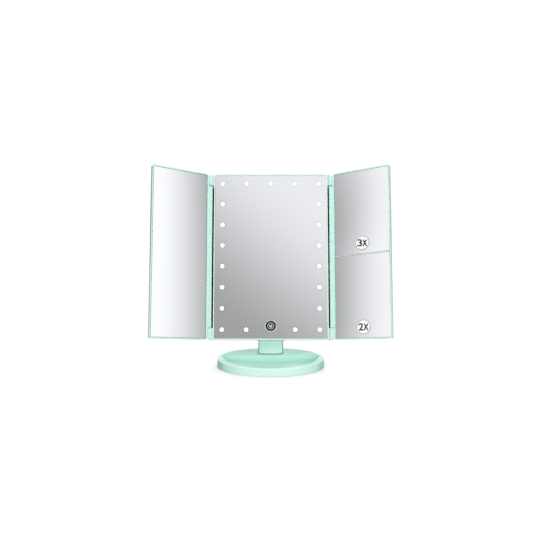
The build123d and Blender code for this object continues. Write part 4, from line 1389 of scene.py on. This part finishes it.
@dataclass
class MagnifyingWing(Wing):
    """The wing with two magnifying mirrors, one above the other."""

    magnifiers: tuple[Magnifier, ...] = (
        Magnifier("lower", "2X", -0.4, 117.45, 2500.0, 0.03),
        Magnifier("upper", "3X", 118.55, 238.9, 1800.0, 0.1),
    )
    border: float = 0.3
    label_across: float = 46.3
    label_up: float = 15.2
    label_thickness: float = 0.35
    figures: tuple[Figure, Figure] = (Figure(6.7, 10.5, 0.33), Figure(7.3, 9.2, 0.65))
    figure_pitch: float = 7.2
    figure_thickness: float = 0.05

    def depth(self, mirror: Magnifier) -> float:
        """Depth of a mirror, from the rim of its dish to its back."""
        return mirror.dish(self.glass_out - self.glass_in) + self.glass_thickness

    def centre(self, mirror: Magnifier) -> Vector:
        """Centre of a mirror's sphere in the wing's axes, in millimetres."""
        ahead = mirror.radius + self.face - self.depth(mirror) + self.glass_thickness
        return Vector(((self.glass_in + self.glass_out) / 2, (mirror.foot + mirror.top) / 2, ahead))

    def figures_on(self, mirror: Magnifier) -> Shape:
        """Makes the figures of a mirror's label.

        Args:
            mirror: the mirror that the label lies on.

        Returns:
            The figures, standing on the label along the line to the sphere's centre.
        """
        centre = self.centre(mirror)
        label = Vector((self.label_across, mirror.foot + self.label_up, self.face))
        out = (centre - label).normalized()
        spot = centre - out * (mirror.radius - self.label_thickness)
        tilt = Vector((0, 0, 1)).rotation_difference(out).to_matrix().to_4x4()
        skew = Matrix.Identity(4)
        skew[1][0] = -mirror.slope
        place = self.axes.matrix(*spot) @ tilt @ skew
        made = []
        for text, size, step in zip(mirror.power, self.figures, (-0.5, 0.5)):
            moved = place @ Matrix.Translation((step * self.figure_pitch * MM, 0, 0))
            made.append(lettering(text, size, self.figure_thickness, moved))
        return joined(*made)

    def build(self) -> None:
        """Makes the pads and the figures on the labels."""
        ink = Finish("label_ink", srgb(14, 15, 17), 0.6, specular=0.2)
        for mirror in self.magnifiers:
            self.foam(f"{mirror.name}_foam", mirror.foot, mirror.top, self.depth(mirror))
            add_piece(f"{mirror.name}_label_figures", self.figures_on(mirror), ink, self.body)

    def dress(self) -> None:
        """Finishes the shell, the divider, the mirrors and the labels."""
        dress("right_wing_shell", WingMint(axes=self.axes, side=self.side, outer_shade=0.0))
        # The mint divider is painted near white: a painted highlight standing in for the bright glass edges
        # beside it.
        dress("mirror_divider", MintPlastic(color=srgb(232, 236, 235)))
        for mirror in self.magnifiers:
            place = self.glass(mirror.foot, mirror.top, self.depth(mirror))
            centre = self.axes.point(*self.centre(mirror))
            dress(f"{mirror.name}_mirror", DishedGlass(centre=centre, **place))
            middle = (self.label_across, mirror.foot + self.label_up)
            dress(f"{mirror.name}_label", Label(axes=self.axes, middle=middle))


# ---- studio


@dataclass(frozen=True)
class Lamp:
    """Soft square lamp that faces the object; its place and side are in metres, its power in watts."""

    name: str
    place: Triple
    size: float
    power: float
    in_mirrors: bool = False
    aim: Triple = (0, 0.03, 0.14)

    def hang(self) -> None:
        """Hangs the lamp."""
        data = bpy.data.lights.new(self.name, "AREA")
        data.shape = "SQUARE"
        data.size = self.size
        data.energy = self.power
        holder = linked(self.name, data)
        holder.location = self.place
        ahead = Vector(self.aim) - Vector(self.place)
        holder.rotation_euler = ahead.to_track_quat("-Z", "Y").to_euler()
        holder.visible_glossy = self.in_mirrors


@dataclass(frozen=True)
class Divide:
    """Slanting line between two tones of the room, in degrees as seen from the object."""

    turn: float
    soft: float
    slope: float
    height: float

    def beyond(self, turn: Value, rise: Value) -> Value:
        """Mask of what lies beyond the line."""
        return (turn + self.slope * (rise - self.height)).above(self.turn, self.soft)


WHITE = (1.0, 1.0, 1.0)


@dataclass
class Studio:
    """Pale floor, soft light and the camera; a shadow ring is a gain, a radius and a soft edge in metres."""

    camera_place: Triple = (-1.09, -716.09, 199.63)
    camera_pitch: float = 11.17
    lens: float = 34.77
    sensor: float = 36.0
    shift_up: float = 0.1031
    floor_size: float = 12.0
    floor_tones: Pair = (0.38, 0.8)
    floor_glow: float = 1.08
    shadow_squeeze: Triple = (1.0, 1.37, 1.0)
    shadow_share: float = 0.45
    shadow_rings: tuple[Triple, ...] = ((0.4, 0.085, 0.012), (0.15, 0.3, 0.15))
    room_level: float = 0.22
    ahead_divide: Divide = Divide(27.7, 11.0, 0.72, 0.0)
    ahead_tones: Pair = (0.38, 0.895)
    right_divide: Divide = Divide(48.5, 4.75, -0.22, 24.0)
    right_tones: Pair = (1.06, 0.295)
    low_left_divide: Divide = Divide(46.04, 1.63, -0.139, 20.0)
    high_left_divide: Divide = Divide(47.754, 0.4, 0.327, 28.4)
    left_step: float = 24.5
    left_tones: Pair = (0.97, 0.345)
    sides_from: float = 24.0
    lamps: tuple[Lamp, ...] = (
        Lamp("low_front_lamp", (0.14, -2.3, 0.35), 0.9, 31.5),
        Lamp("high_front_lamp", (0.2, -1.2, 2.1), 1.0, 21.0),
        Lamp("top_lamp", (0.0, 0.1, 2.3), 1.4, 9.5, in_mirrors=True),
        Lamp("back_lamp", (0.3, 2.0, 1.2), 1.2, 34.0),
    )

    def camera(self) -> None:
        """Sets up the camera, in front of the object and looking a little down."""
        data = bpy.data.cameras.new("camera")
        data.lens = self.lens
        data.sensor_width = self.sensor
        data.sensor_fit = "HORIZONTAL"
        data.shift_y = self.shift_up
        data.clip_start = 0.01
        data.clip_end = 100.0
        holder = linked("camera", data)
        holder.location = Vector(self.camera_place) * MM
        holder.rotation_euler = (math.radians(90 - self.camera_pitch), 0, 0)
        bpy.context.scene.camera = holder

    def floor(self) -> None:
        """Lays the pale floor, on which the object's faint shadow fades out ring by ring."""
        shape = bmesh.new()
        bmesh.ops.create_grid(shape, x_segments=2, y_segments=2, size=self.floor_size / 2)
        material = bpy.data.materials.new("floor")
        material.use_nodes = True
        graph = Graph(material.node_tree)
        squeezed = graph.vector("MULTIPLY", graph.place(), self.shadow_squeeze).outputs[0]
        away = Value(graph, graph.vector("LENGTH", squeezed).outputs[1])
        seen = self.seen_rays(graph)
        tone = graph.blend(seen, *((level, level, level) for level in self.floor_tones))
        matte = graph.node("BsdfDiffuse", {"Color": tone}).outputs[0]
        white = graph.node("Emission", {"Color": WHITE, "Strength": self.floor_glow}).outputs[0]
        share = self.shadow_share
        for gain, radius, soft in self.shadow_rings:
            share = share + gain * away.above(radius, soft)
        mixed = graph.node("MixShader", {0: seen * share, 1: matte, 2: white}).outputs[0]
        graph.node("OutputMaterial", {"Surface": mixed})
        floor = linked("floor", mesh_from("floor", shape))
        floor.data.materials.append(material)

    @staticmethod
    def seen_rays(graph: Graph) -> Value:
        """Tells the rays that show the background: straight, mirrored or through glass.

        Args:
            graph: the nodes of the floor or of the world.

        Returns:
            The mask, 1 for such rays.
        """
        rays = graph.node("LightPath").outputs
        kinds = ("Is Camera Ray", "Is Glossy Ray", "Is Transmission Ray")
        straight, mirrored, through = (Value(graph, rays[kind]) for kind in kinds)
        return straight.most(mirrored).most(through)

    def room(self) -> None:
        """Lights the world: even for the object, white behind it, softly graded in the mirrors."""
        world = bpy.data.worlds.new("studio")
        world.use_nodes = True
        bpy.context.scene.world = world
        graph = Graph(world.node_tree)
        direction = graph.node("TexCoord").outputs["Generated"]
        parts = graph.node("SeparateXYZ", {0: direction})
        x, y, z = (Value(graph, parts.outputs[i]) for i in range(3))
        degrees = 180 / math.pi
        azimuth = x.arctan2(0 - y) * degrees
        rise = z.arcsine() * degrees
        turn = abs(azimuth)
        ahead = self.ahead_divide.beyond(rise, azimuth).mix(*self.ahead_tones)
        right = self.right_divide.beyond(turn, rise).mix(*self.right_tones)
        low, high = (line.beyond(turn, rise) for line in (self.low_left_divide, self.high_left_divide))
        left = rise.above(self.left_step, 1.0).mix(low, high).mix(*self.left_tones)
        side = azimuth.above(0.0, 1.0).mix(left, right)
        tone = turn.above(self.sides_from, 12.0).mix(ahead, side)
        glossy = Value(graph, graph.node("LightPath").outputs["Is Glossy Ray"])
        level = glossy.mix(self.seen_rays(graph).mix(self.room_level, 1.0), tone)
        shader = graph.node("Background", {"Color": WHITE, "Strength": level})
        graph.node("OutputWorld", {"Surface": shader.outputs[0]})

    def build(self) -> None:
        """Sets up camera, floor, room and lamps."""
        self.camera()
        self.floor()
        self.room()
        for lamp in self.lamps:
            lamp.hang()
        view = bpy.context.scene.view_settings
        view.view_transform = "Standard"


def main() -> None:
    """Builds and dresses the sub-assemblies in order."""
    logging.basicConfig(level=logging.INFO, format="%(message)s")
    Studio().build()
    wings = (PlainWing(Side.LEFT), MagnifyingWing(Side.RIGHT))
    for assembly in (TrayBase(), TiltNeck(), LitHead(), RearHousing(), *wings):
        assembly.build()
        assembly.dress()
        LOG.info("finished %s", type(assembly).__name__)


if __name__ == "__main__":
    main()
